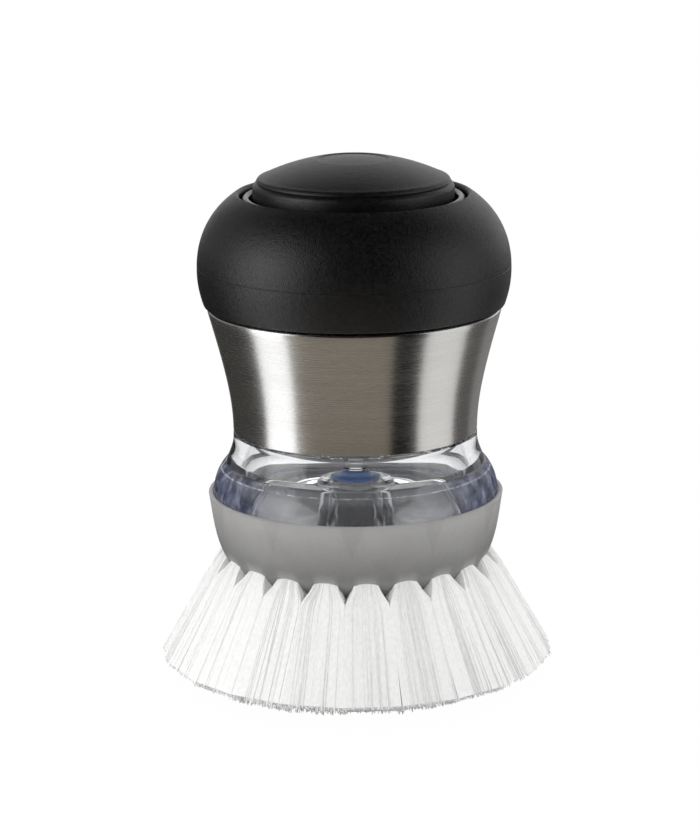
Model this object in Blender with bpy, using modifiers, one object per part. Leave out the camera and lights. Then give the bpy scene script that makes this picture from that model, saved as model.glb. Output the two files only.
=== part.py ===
# Soap-dispensing palm brush.
# A clear soap vessel stands in a steel sleeve, under a screwed-on soft grip knob with a spring button.
# The button drives a rod and piston that squeeze soap out through the middle of a twist-off brush head.
# All lengths are in metres, +Z is up, and the bristle ends stand on z = 0.

import bmesh
import bpy
from math import cos, pi, radians, sin, sqrt, tau
from mathutils import Matrix, Vector

# Fits and facets shared by the whole assembly
CLEARANCE = 0.0003
OVERRUN = 0.001
MERGE = 0.00001
LARGE_STEPS = 32
SMALL_STEPS = 20

# Heights of the assembly: the head's underside over the bristle ends, then the rise to each next level
HEAD_BOTTOM_HEIGHT = 0.0208
HEAD_SPLIT_RISE = 0.0030
HEAD_FLOOR_RISE = 0.0023
CREASE_RISE = 0.0060
SHOULDER_RISE = 0.0061
SLEEVE_HEIGHT = 0.0251
COLLAR_DEPTH = 0.0064
KNOB_FOOT_RISE = 0.0005
KNOB_EQUATOR_RISE = 0.0070
BUTTON_EDGE_RISE = 0.0019
BUTTON_DOME_RISE = 0.0050

# Movements
BUTTON_TRAVEL = 0.0050
HEAD_LEAD = 0.0180

# Soap vessel
VESSEL_WALL = 0.0020
NECK_RADIUS = 0.0222
BARREL_STEP = 0.0011
WAIST_STEP = 0.00097
CREASE_FLARE = 0.00145
BULGE_FLARE = 0.00395
BULGE_CORNER = 0.0090
BULGE_DROP = 0.0003
FLARE_DROP = 0.0026
FLOOR_THICKNESS = 0.0024
SKIRT_STEP = 0.0034
SKIRT_HEADROOM = 0.0011
BOSS_WALL = 0.0024
SEAL_SQUEEZE_ROOM = 0.0007

# Pump cylinder in the vessel floor, with its inlet ports and valve seat
PISTON_RADIUS = 0.00475
PUMP_HEIGHT = 0.0105
PISTON_LENGTH = 0.0032
PISTON_WEB = 0.0018
PUMP_WALL = 0.0020
PORT_RADIUS = 0.0009
PORT_COUNT = 4
PORT_RISE = 0.0014
VALVE_STEP = 0.00085
VALVE_FLANGE = 0.0010
VALVE_NOZZLE_RADIUS = 0.0026
VALVE_NOZZLE_DROP = 0.0017
VALVE_SKIN = 0.0008
SLIT_LENGTH = 0.0030
SLIT_WIDTH = 0.0004
RETAINER_HEIGHT = 0.0014
RETAINER_PLAY = 0.0013
VALVE_POCKET_DEPTH = 0.0036
VALVE_SEAT_THICKNESS = 0.0008

# Quarter-turn lugs that carry the brush head
LUG_COUNT = 3
LUG_REACH = 0.0014
LUG_THICKNESS = 0.0016
LUG_ARC = radians(40)
LUG_STEPS = 6
LUG_RISE = 0.0010
LUG_MARGIN = 0.0012

# Steel sleeve and the collar that holds it
SLEEVE_WALL = 0.0006
SLEEVE_FLARE = 0.00494
SLEEVE_LIP_WIDTH = 0.0028
COLLAR_WALL = 0.0016
COLLAR_FLANGE = 0.0008
COLLAR_INSET = 0.0015

# Knob, soft grip over a hard shell
KNOB_OVERHANG = 0.00176
KNOB_CURVE_REACH = 0.0207
KNOB_CURVE_HEIGHT = 0.01835
KNOB_FULLNESS = 2.167
KNOB_OPENING_INSET = 0.00857
KNOB_LOWER_CURVE = 0.01775
KNOB_RIM_ROUND = 0.0009
KNOB_FOOT_ROUND = 0.0008
GRIP_THICKNESS = 0.0022
GRIP_LIP_DEPTH = 0.0025
SHELL_INSET = 0.00327
DECK_THICKNESS = 0.0020
WELL_LEDGE_WIDTH = 0.0006
BUTTON_PLAY = 0.0006
WELL_RING_HEIGHT = 0.0032
WELL_RING_WIDTH = 0.00155
WELL_RING_DROP = 0.0010
HUB_WALL = 0.0027
HUB_RISE = 0.0018
HUB_DROP = 0.0032
THREAD_PLAY = 0.0004
GASKET_THICKNESS = 0.0010
SEAL_POCKET_WALL = 0.0009
SEAL_POCKET_DEPTH = 0.0022
SEAL_CAP_WALL = 0.0010
SEAL_CAP_FLOOR = 0.0012

# Button with its core, rod and return spring
BUTTON_BEAD = 0.0007
BUTTON_BEAD_HEIGHT = 0.0036
BUTTON_BEAD_ROUND = 0.0011
BUTTON_CREASE = 0.0002
BUTTON_SKIN = 0.0015
BUTTON_RECESS_RADIUS = 0.0069
BUTTON_RECESS_DEPTH = 0.0004
CORE_WALL = 0.0016
CORE_FLANGE_THICKNESS = 0.0010
SOCKET_WALL = 0.0018
BOSS_HEADROOM = 0.0010
ROD_RADIUS = 0.0023
ROD_SEAT_DEPTH = 0.0042
SPIGOT_STEP = 0.0008
CLIP_WIDTH = 0.0015
CLIP_THICKNESS = 0.0008
SPRING_STEP = 0.0011
SPRING_WIRE_RADIUS = 0.0004
SPRING_TURNS = 5
SPRING_POINTS_PER_TURN = 10

# Brush head bowl
HEAD_OVERHANG = 0.00125
HEAD_TAPER = 0.00545
HEAD_RIM_WALL = 0.0009
HEAD_WALL = 0.0012
HEAD_CORNER = 0.0015
OUTLET_PLAY = 0.0008
OUTLET_WALL = 0.0027
RING_GROOVE_INSET = 0.0014
RING_CORD_RADIUS = 0.00065
RING_CORD_SIDES = 6
RIB_COUNT = 10
RIB_TOP_WIDTH = 0.0028
RIB_FOOT_WIDTH = 0.0010
RIB_TOP_DROP = 0.0031
RIB_FOOT_RISE = 0.0024

# Bristles, in rings of tufts set into three slices of the head
SLICE_COUNT = 3
SLICE_STEPS = 10
SLICE_GAP_ANGLE = radians(1.2)
FRONT_TUFT_TURN = radians(4.1)
OUTER_RING_INSET = 0.0006
MIDDLE_RING_SHARE = 7 / 15
INNER_RING_GAP = 0.0039
UNDERSIDE_RISE = 0.0004
STRAND_RADIUS = 0.00042
STRAND_SIDES = 3
STRAND_ROOT_DEPTH = 0.0012
TUFT_RADIUS = 0.0014
OUTER_TIP_HEIGHT = 0.0033
OUTER_SPLAY = 0.0135
MIDDLE_SPLAY = 0.0081
INNER_SPLAY = 0.0022
FACE_CUT_DEPTH = 0.0005
OUTER_TIP_SPREAD = 0.0042
INNER_TIP_SPREAD = 0.0026
TIP_RAGGEDNESS = 0.0007

# Radii that follow from the sizes above, from the neck outwards
BARREL_RADIUS = NECK_RADIUS + BARREL_STEP
WAIST_RADIUS = BARREL_RADIUS + WAIST_STEP
CREASE_RADIUS = WAIST_RADIUS + CREASE_FLARE
BULGE_RADIUS = WAIST_RADIUS + BULGE_FLARE
SKIRT_RADIUS = BULGE_RADIUS - SKIRT_STEP
HEAD_RIM_RADIUS = BULGE_RADIUS + HEAD_OVERHANG
HEAD_FOOT_RADIUS = HEAD_RIM_RADIUS - HEAD_TAPER
SLEEVE_TOP_RADIUS = WAIST_RADIUS + SLEEVE_FLARE
COLLAR_FLANGE_RADIUS = SLEEVE_TOP_RADIUS - COLLAR_INSET
KNOB_RADIUS = SLEEVE_TOP_RADIUS + KNOB_OVERHANG
KNOB_CURVE_CENTRE = KNOB_RADIUS - KNOB_CURVE_REACH
KNOB_OPENING_RADIUS = KNOB_RADIUS - KNOB_OPENING_INSET
SHELL_OUTER_RADIUS = KNOB_RADIUS - SHELL_INSET
WELL_RING_SEAT_RADIUS = KNOB_OPENING_RADIUS - CLEARANCE / 2
WELL_RADIUS = WELL_RING_SEAT_RADIUS - WELL_LEDGE_WIDTH
WELL_RING_RADIUS = WELL_RING_SEAT_RADIUS - CLEARANCE
WELL_RING_BORE = WELL_RING_RADIUS - WELL_RING_WIDTH
BUTTON_BEAD_RADIUS = WELL_RING_BORE - BUTTON_PLAY
BUTTON_EDGE_RADIUS = BUTTON_BEAD_RADIUS - BUTTON_BEAD
CORE_SKIRT_RADIUS = BUTTON_BEAD_RADIUS - CLEARANCE
CORE_FLANGE_RADIUS = WELL_RADIUS - BUTTON_PLAY

# Radii of the pump, the rod and the outlet, from the middle outwards
VALVE_RADIUS = PISTON_RADIUS + VALVE_STEP
BOSS_RADIUS = VALVE_RADIUS + BOSS_WALL
RETAINER_BORE = VALVE_NOZZLE_RADIUS + RETAINER_PLAY
OUTLET_RADIUS = VALVE_NOZZLE_RADIUS + OUTLET_PLAY
RING_GROOVE_RADIUS = BOSS_RADIUS - RING_GROOVE_INSET
SPIGOT_RADIUS = ROD_RADIUS - SPIGOT_STEP
CLIP_RADIUS = SPIGOT_RADIUS + CLIP_WIDTH
HUB_RADIUS = ROD_RADIUS + HUB_WALL
SEAL_POCKET_RADIUS = HUB_RADIUS - SEAL_POCKET_WALL
SPRING_RADIUS = HUB_RADIUS + SPRING_STEP

# Radii of the three rings of tufts, at their roots and at their tips
OUTER_RING_RADIUS = HEAD_FOOT_RADIUS - OUTER_RING_INSET
INNER_RING_RADIUS = OUTLET_RADIUS + OUTLET_WALL + INNER_RING_GAP
MIDDLE_RING_RADIUS = INNER_RING_RADIUS + (OUTER_RING_RADIUS - INNER_RING_RADIUS) * MIDDLE_RING_SHARE
OUTER_TIP_RADIUS = OUTER_RING_RADIUS + OUTER_SPLAY
MIDDLE_TIP_RADIUS = MIDDLE_RING_RADIUS + MIDDLE_SPLAY
INNER_TIP_RADIUS = INNER_RING_RADIUS + INNER_SPLAY
# Each ring: root radius, tip radius, tip height, spread at the tips, tufts in a slice, strands in a tuft
TUFT_RINGS = (
    (OUTER_RING_RADIUS, OUTER_TIP_RADIUS, OUTER_TIP_HEIGHT, OUTER_TIP_SPREAD, 7, 8),
    (MIDDLE_RING_RADIUS, MIDDLE_TIP_RADIUS, -FACE_CUT_DEPTH, INNER_TIP_SPREAD, 5, 6),
    (INNER_RING_RADIUS, INNER_TIP_RADIUS, -FACE_CUT_DEPTH, INNER_TIP_SPREAD, 3, 6),
)

# Heights that follow from the sizes above
HEAD_SPLIT_HEIGHT = HEAD_BOTTOM_HEIGHT + HEAD_SPLIT_RISE
HEAD_FLOOR_HEIGHT = HEAD_SPLIT_HEIGHT + HEAD_FLOOR_RISE
SKIRT_BOTTOM_HEIGHT = HEAD_FLOOR_HEIGHT + SKIRT_HEADROOM
LUG_LOW_HEIGHT = SKIRT_BOTTOM_HEIGHT + LUG_RISE
LUG_CLIMB = HEAD_LEAD * LUG_ARC / tau
LUG_TOP_HEIGHT = LUG_LOW_HEIGHT + LUG_CLIMB + 2 * LUG_THICKNESS + CLEARANCE
BULGE_HEIGHT = LUG_TOP_HEIGHT + LUG_MARGIN + FLARE_DROP
FLARE_HEIGHT = BULGE_HEIGHT - FLARE_DROP
HEAD_RIM_HEIGHT = BULGE_HEIGHT + BULGE_DROP
RIB_FOOT_HEIGHT = HEAD_FLOOR_HEIGHT + RIB_FOOT_RISE
RIB_TOP_HEIGHT = HEAD_RIM_HEIGHT - RIB_TOP_DROP
BOSS_BOTTOM_HEIGHT = HEAD_FLOOR_HEIGHT + SEAL_SQUEEZE_ROOM
VALVE_SEAT_HEIGHT = BOSS_BOTTOM_HEIGHT + VALVE_POCKET_DEPTH
FLOOR_HEIGHT = VALVE_SEAT_HEIGHT + VALVE_SEAT_THICKNESS
PISTON_TOP_HEIGHT = FLOOR_HEIGHT + PUMP_HEIGHT
CREASE_HEIGHT = HEAD_RIM_HEIGHT + CREASE_RISE
VESSEL_SHOULDER_HEIGHT = CREASE_HEIGHT + SHOULDER_RISE
SLEEVE_TOP_HEIGHT = VESSEL_SHOULDER_HEIGHT + SLEEVE_HEIGHT
COLLAR_LEDGE_HEIGHT = SLEEVE_TOP_HEIGHT - COLLAR_DEPTH
KNOB_FOOT_HEIGHT = SLEEVE_TOP_HEIGHT + KNOB_FOOT_RISE
KNOB_EQUATOR_HEIGHT = KNOB_FOOT_HEIGHT + KNOB_EQUATOR_RISE
KNOB_RIM_SHARE = (KNOB_OPENING_RADIUS - KNOB_CURVE_CENTRE) / (KNOB_RADIUS - KNOB_CURVE_CENTRE)
KNOB_RIM_RISE = KNOB_CURVE_HEIGHT * (1 - KNOB_RIM_SHARE ** KNOB_FULLNESS) ** (1 / KNOB_FULLNESS)
KNOB_RIM_HEIGHT = KNOB_EQUATOR_HEIGHT + KNOB_RIM_RISE
BUTTON_EDGE_HEIGHT = KNOB_RIM_HEIGHT + BUTTON_EDGE_RISE
BUTTON_TOP_HEIGHT = BUTTON_EDGE_HEIGHT + BUTTON_DOME_RISE
WELL_RING_TOP_HEIGHT = KNOB_RIM_HEIGHT - WELL_RING_DROP
WELL_LEDGE_HEIGHT = WELL_RING_TOP_HEIGHT - WELL_RING_HEIGHT - CLEARANCE
CORE_FOOT_HEIGHT = WELL_LEDGE_HEIGHT - CORE_FLANGE_THICKNESS
DECK_TOP_HEIGHT = CORE_FOOT_HEIGHT - BUTTON_TRAVEL - CLEARANCE
DECK_BOTTOM_HEIGHT = DECK_TOP_HEIGHT - DECK_THICKNESS
NECK_TOP_HEIGHT = DECK_BOTTOM_HEIGHT - GASKET_THICKNESS - 2 * CLEARANCE
HUB_TOP_HEIGHT = DECK_TOP_HEIGHT + HUB_RISE
HUB_BOTTOM_HEIGHT = DECK_BOTTOM_HEIGHT - HUB_DROP
CORE_BOSS_BOTTOM_HEIGHT = HUB_TOP_HEIGHT + BUTTON_TRAVEL + BOSS_HEADROOM
ROD_TOP_HEIGHT = CORE_BOSS_BOTTOM_HEIGHT + ROD_SEAT_DEPTH


def clear_scene():
    for item in list(bpy.data.objects):
        bpy.data.objects.remove(item, do_unlink=True)


def make_collection(name):
    group = bpy.data.collections.new(name)
    bpy.context.scene.collection.children.link(group)
    return group


def make_material(name, color, roughness, metallic=0.0, alpha=1.0, transmission=0.0):
    material = bpy.data.materials.new(name)
    material.use_nodes = True
    shader = material.node_tree.nodes["Principled BSDF"]
    shader.inputs["Base Color"].default_value = (*color, 1.0)
    shader.inputs["Roughness"].default_value = roughness
    shader.inputs["Metallic"].default_value = metallic
    shader.inputs["Alpha"].default_value = alpha
    shader.inputs["Transmission Weight"].default_value = transmission
    return material


def make_axis(name, parent=None):
    axis = bpy.data.objects.new(name, None)
    axis.empty_display_size = HUB_RADIUS
    axis.parent = parent
    parts.objects.link(axis)
    return axis


def add_object(name, mesh, material, axis):
    item = bpy.data.objects.new(name, mesh)
    mesh.materials.append(material)
    mesh.shade_smooth()
    mesh.set_sharp_from_angle(angle=radians(35))
    item.parent = axis
    parts.objects.link(item)
    return item


def add_guide(name, mesh):
    """A cutter or an added form, which is only an operand of a Boolean."""
    item = bpy.data.objects.new(name, mesh)
    item.hide_render = True
    item.display_type = "WIRE"
    cutters.objects.link(item)
    return item


def turned(name, outline, material, axis, steps=LARGE_STEPS, closed=True):
    """A turned piece: its outline of (radius, height) points runs down the outer side."""
    mesh = bpy.data.meshes.new(name)
    points = [(radius, 0, height) for radius, height in outline]
    edges = [(i, i + 1) for i in range(len(points) - 1)]
    if closed:
        edges.append((len(points) - 1, 0))
    mesh.from_pydata(points, edges, [])
    item = add_object(name, mesh, material, axis)
    screw = item.modifiers.new("turn", "SCREW")
    screw.axis = "Z"
    screw.angle = tau
    screw.steps = steps
    screw.render_steps = steps
    screw.use_merge_vertices = True
    screw.merge_threshold = MERGE
    screw.use_smooth_shade = True
    return item


def combine(item, operand, operation):
    boolean = item.modifiers.new(operation.lower(), "BOOLEAN")
    boolean.operation = operation
    boolean.solver = "EXACT"
    boolean.object = operand


def mesh_from(name, form):
    bmesh.ops.recalc_face_normals(form, faces=form.faces)
    mesh = bpy.data.meshes.new(name)
    form.to_mesh(mesh)
    form.free()
    return mesh


def add_arc_solid(form, outline, start, angle, steps, rise=0.0):
    """Adds a solid swept round Z from a closed outline, climbing by rise over its arc."""
    turn = Matrix.Rotation(start, 3, "Z")
    corners = [form.verts.new(turn @ Vector((radius, 0, height))) for radius, height in outline]
    face = form.faces.new(corners)
    bmesh.ops.spin(
        form, geom=[face], cent=(0, 0, 0), axis=(0, 0, 1), dvec=(0, 0, rise / steps),
        angle=angle, steps=steps, use_duplicate=False,
    )


def arc(centre, radius, start, end, count):
    """Points of a round corner from one angle to the other, both in degrees."""
    turns = [radians(start + (end - start) * i / count) for i in range(count + 1)]
    return [(centre[0] + radius * cos(t), centre[1] + radius * sin(t)) for t in turns]


def bezier(start, first_handle, second_handle, end, count):
    points = []
    for i in range(count + 1):
        t = i / count
        weights = ((1 - t) ** 3, 3 * t * (1 - t) ** 2, 3 * t * t * (1 - t), t ** 3)
        places = (start, first_handle, second_handle, end)
        points.append(tuple(sum(w * p[k] for w, p in zip(weights, places)) for k in (0, 1)))
    return points


def sleeve_curve(inset, count=7):
    """The waisted outline of the sleeve, from its foot to its top, moved inwards by inset."""
    foot = (WAIST_RADIUS - inset, VESSEL_SHOULDER_HEIGHT + CLEARANCE)
    top = (SLEEVE_TOP_RADIUS - inset, SLEEVE_TOP_HEIGHT)
    height = top[1] - foot[1]
    flare = top[0] - foot[0]
    first_share, second_share, second_flare_share = 0.284, 0.575, 0.400
    first = (foot[0], foot[1] + height * first_share)
    second = (foot[0] + flare * second_flare_share, foot[1] + height * second_share)
    return bezier(foot, first, second, top, count)


def knob_radius_at(height):
    """Radius of the knob's side at a height, over or under its widest line."""
    if height > KNOB_EQUATOR_HEIGHT:
        rise = (height - KNOB_EQUATOR_HEIGHT) / KNOB_CURVE_HEIGHT
        share = (1 - rise ** KNOB_FULLNESS) ** (1 / KNOB_FULLNESS)
        return KNOB_CURVE_CENTRE + (KNOB_RADIUS - KNOB_CURVE_CENTRE) * share
    drop = KNOB_EQUATOR_HEIGHT - height
    return KNOB_RADIUS - KNOB_LOWER_CURVE + sqrt(KNOB_LOWER_CURVE ** 2 - drop ** 2)


def knob_curve(inset, top_height, bottom_height, upper=8, lower=4):
    """Points down the knob's side, moved inwards by inset, from a top to a bottom height."""
    heights = []
    for i in range(upper):
        rise = (top_height - KNOB_EQUATOR_HEIGHT) * cos(pi / 2 * i / upper)
        heights.append(KNOB_EQUATOR_HEIGHT + rise)
    for i in range(lower + 1):
        heights.append(KNOB_EQUATOR_HEIGHT - (KNOB_EQUATOR_HEIGHT - bottom_height) * i / lower)
    return [(knob_radius_at(height) - inset, height) for height in heights]


def dome_height(radius, drop):
    """Height of the button's dome at a radius, lowered by drop."""
    sag = BUTTON_TOP_HEIGHT - BUTTON_EDGE_HEIGHT
    dome_radius = (BUTTON_EDGE_RADIUS ** 2 + sag ** 2) / (2 * sag)
    return BUTTON_TOP_HEIGHT - drop - dome_radius + sqrt(dome_radius ** 2 - radius ** 2)


def underside_height(radius):
    """Height of the brush head's underside, a shallow dome."""
    return HEAD_BOTTOM_HEIGHT + UNDERSIDE_RISE * (radius / HEAD_FOOT_RADIUS) ** 2


def head_side(count=8):
    """The bowl's outline, from its rim down to its rounded foot."""
    rim = (HEAD_RIM_RADIUS, HEAD_RIM_HEIGHT - CLEARANCE)
    foot = (HEAD_FOOT_RADIUS, underside_height(HEAD_FOOT_RADIUS))
    drop = rim[1] - foot[1]
    taper = HEAD_RIM_RADIUS - HEAD_FOOT_RADIUS
    high_share, low_share, upper_taper_share, lower_taper_share = 0.35, 0.75, 0.17, 0.20
    return bezier(
        rim, (rim[0] - taper * upper_taper_share, rim[1] - drop * high_share),
        (rim[0] - taper * lower_taper_share, rim[1] - drop * low_share), foot, count,
    )


def head_radius_at(height):
    side = head_side()
    for upper, lower in zip(side, side[1:]):
        if lower[1] <= height:
            return upper[0] + (lower[0] - upper[0]) * (upper[1] - height) / (upper[1] - lower[1])
    return HEAD_FOOT_RADIUS


def build_vessel(axis):
    bore = BARREL_RADIUS - VESSEL_WALL
    inner_neck = NECK_RADIUS - VESSEL_WALL
    inner_bulge = BULGE_RADIUS - VESSEL_WALL
    inner_skirt = SKIRT_RADIUS - VESSEL_WALL
    waist_height = VESSEL_SHOULDER_HEIGHT - CREASE_HEIGHT
    waist_share, bend_share = 0.45, 0.30
    waist = bezier(
        (WAIST_RADIUS, VESSEL_SHOULDER_HEIGHT),
        (WAIST_RADIUS, VESSEL_SHOULDER_HEIGHT - waist_height * waist_share),
        (CREASE_RADIUS - VESSEL_WALL * bend_share, CREASE_HEIGHT + waist_height * bend_share),
        (CREASE_RADIUS, CREASE_HEIGHT), 4,
    )
    corner = (BULGE_RADIUS - BULGE_CORNER, BULGE_HEIGHT - CLEARANCE)
    bulge = arc(corner, BULGE_CORNER, 43, 0, 5)
    outline = [
        (inner_neck, NECK_TOP_HEIGHT),
        (NECK_RADIUS, NECK_TOP_HEIGHT),
        (NECK_RADIUS, COLLAR_LEDGE_HEIGHT),
        (BARREL_RADIUS, COLLAR_LEDGE_HEIGHT),
        (BARREL_RADIUS, VESSEL_SHOULDER_HEIGHT),
        *waist,
        *bulge,
        (BULGE_RADIUS - VESSEL_WALL / 3, FLARE_HEIGHT + FLARE_DROP / 2),
        (SKIRT_RADIUS, FLARE_HEIGHT),
        (inner_skirt, FLARE_HEIGHT),
        (inner_skirt + CLEARANCE, FLARE_HEIGHT + CLEARANCE),
        (inner_bulge - CLEARANCE, BULGE_HEIGHT + VESSEL_WALL),
        (CREASE_RADIUS - VESSEL_WALL - CLEARANCE, CREASE_HEIGHT + CLEARANCE),
        (bore, VESSEL_SHOULDER_HEIGHT),
        (bore, COLLAR_LEDGE_HEIGHT - VESSEL_WALL / 2),
        (inner_neck, COLLAR_LEDGE_HEIGHT + VESSEL_WALL / 2),
    ]
    turned("reservoir_body", outline, clear_plastic, axis)


def build_base(axis):
    pump_bore = PISTON_RADIUS + CLEARANCE
    pump_top = PISTON_TOP_HEIGHT + CLEARANCE
    valve_pocket = VALVE_RADIUS + CLEARANCE
    base_top = FLARE_HEIGHT - CLEARANCE
    floor_top = FLOOR_HEIGHT + FLOOR_THICKNESS
    inner_skirt = SKIRT_RADIUS - VESSEL_WALL
    outline = [
        (inner_skirt, base_top),
        (SKIRT_RADIUS, base_top),
        (SKIRT_RADIUS, SKIRT_BOTTOM_HEIGHT),
        (inner_skirt, SKIRT_BOTTOM_HEIGHT),
        (inner_skirt, FLOOR_HEIGHT),
        (BOSS_RADIUS, FLOOR_HEIGHT),
        (BOSS_RADIUS, BOSS_BOTTOM_HEIGHT),
        (valve_pocket, BOSS_BOTTOM_HEIGHT),
        (valve_pocket, VALVE_SEAT_HEIGHT),
        (pump_bore, VALVE_SEAT_HEIGHT),
        (pump_bore, pump_top),
        (pump_bore + PUMP_WALL, pump_top),
        (pump_bore + PUMP_WALL, floor_top),
        (inner_skirt, floor_top),
    ]
    base = turned("reservoir_base", outline, clear_plastic, axis)

    lugs = bmesh.new()
    tip = SKIRT_RADIUS + LUG_REACH
    root = SKIRT_RADIUS - VESSEL_WALL / 2
    low = LUG_LOW_HEIGHT + LUG_CLIMB
    high = low + LUG_THICKNESS
    for i in range(LUG_COUNT):
        profile = [(root, low), (tip, low), (tip, high), (root, high)]
        add_arc_solid(lugs, profile, tau * i / LUG_COUNT, LUG_ARC, LUG_STEPS, -LUG_CLIMB)
    combine(base, add_guide("vessel_lugs", mesh_from("vessel_lugs", lugs)), "UNION")

    ports = bmesh.new()
    port_height = floor_top + PORT_RISE
    for i in range(PORT_COUNT):
        turn = Matrix.Rotation(tau * (i + 0.5) / PORT_COUNT, 4, "Z")
        place = Matrix.Translation((pump_bore + PUMP_WALL / 2, 0, port_height))
        bmesh.ops.create_cone(
            ports, cap_ends=True, segments=8, radius1=PORT_RADIUS, radius2=PORT_RADIUS,
            depth=PUMP_WALL + 2 * OVERRUN, matrix=turn @ place @ Matrix.Rotation(pi / 2, 4, "Y"),
        )
    combine(base, add_guide("inlet_ports", mesh_from("inlet_ports", ports)), "DIFFERENCE")


def build_sleeve(axis):
    outer = sleeve_curve(0)
    inner = sleeve_curve(SLEEVE_WALL)
    lip_radius = SLEEVE_TOP_RADIUS - SLEEVE_LIP_WIDTH
    lip_bottom = SLEEVE_TOP_HEIGHT - SLEEVE_WALL
    outline = [(lip_radius, SLEEVE_TOP_HEIGHT), (SLEEVE_TOP_RADIUS - SLEEVE_WALL, SLEEVE_TOP_HEIGHT)]
    outline += [(SLEEVE_TOP_RADIUS - SLEEVE_WALL / 6, SLEEVE_TOP_HEIGHT - SLEEVE_WALL / 2)]
    outline += outer[-2::-1]
    outline += inner[:-1]
    outline += [(inner[-1][0] - SLEEVE_WALL / 3, lip_bottom), (lip_radius, lip_bottom)]
    turned("steel_sleeve", outline, brushed_steel, axis)


def build_collar(axis):
    bore = NECK_RADIUS + CLEARANCE
    foot = COLLAR_LEDGE_HEIGHT + CLEARANCE
    tube = bore + COLLAR_WALL
    flange_bottom = SLEEVE_TOP_HEIGHT + CLEARANCE
    flange_top = flange_bottom + COLLAR_FLANGE
    outline = [
        (bore, flange_top), (COLLAR_FLANGE_RADIUS, flange_top), (COLLAR_FLANGE_RADIUS, flange_bottom),
        (tube, flange_bottom), (tube, foot), (bore, foot),
    ]
    turned("sleeve_collar", outline, black_plastic, axis)


def build_valve(axis):
    top = VALVE_SEAT_HEIGHT - CLEARANCE
    foot = top - VALVE_FLANGE
    nozzle = foot - VALVE_NOZZLE_DROP
    nozzle_inner = VALVE_NOZZLE_RADIUS - VALVE_SKIN
    outline = [
        (nozzle_inner, top), (VALVE_RADIUS, top), (VALVE_RADIUS, foot), (VALVE_NOZZLE_RADIUS, foot),
        (VALVE_NOZZLE_RADIUS, nozzle + VALVE_SKIN), (nozzle_inner, nozzle), (0, nozzle),
    ]
    outline = [(0, nozzle + VALVE_SKIN), (nozzle_inner, nozzle + 2 * VALVE_SKIN)] + outline
    valve = turned("outlet_valve", outline, blue_silicone, axis, SMALL_STEPS, closed=False)
    slit = bmesh.new()
    bmesh.ops.create_cube(slit, size=1)
    bmesh.ops.scale(slit, vec=(SLIT_LENGTH, SLIT_WIDTH, 4 * VALVE_SKIN), verts=slit.verts)
    bmesh.ops.translate(slit, vec=(0, 0, nozzle + VALVE_SKIN / 2), verts=slit.verts)
    combine(valve, add_guide("valve_slit", mesh_from("valve_slit", slit)), "DIFFERENCE")

    ring_top = foot - CLEARANCE
    ring_foot = ring_top - RETAINER_HEIGHT
    outline = [
        (RETAINER_BORE, ring_top), (VALVE_RADIUS, ring_top), (VALVE_RADIUS, ring_foot),
        (RETAINER_BORE + VALVE_SKIN, ring_foot), (RETAINER_BORE, ring_foot + VALVE_SKIN / 2),
    ]
    turned("valve_retainer", outline, white_plastic, axis, SMALL_STEPS)


def build_gasket(axis):
    foot = NECK_TOP_HEIGHT + CLEARANCE
    outer = NECK_RADIUS
    inner = NECK_RADIUS - VESSEL_WALL
    top = foot + GASKET_THICKNESS
    outline = [(inner, top), (outer, top), (outer, foot), (inner, foot)]
    turned("knob_gasket", outline, clear_silicone, axis)


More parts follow.
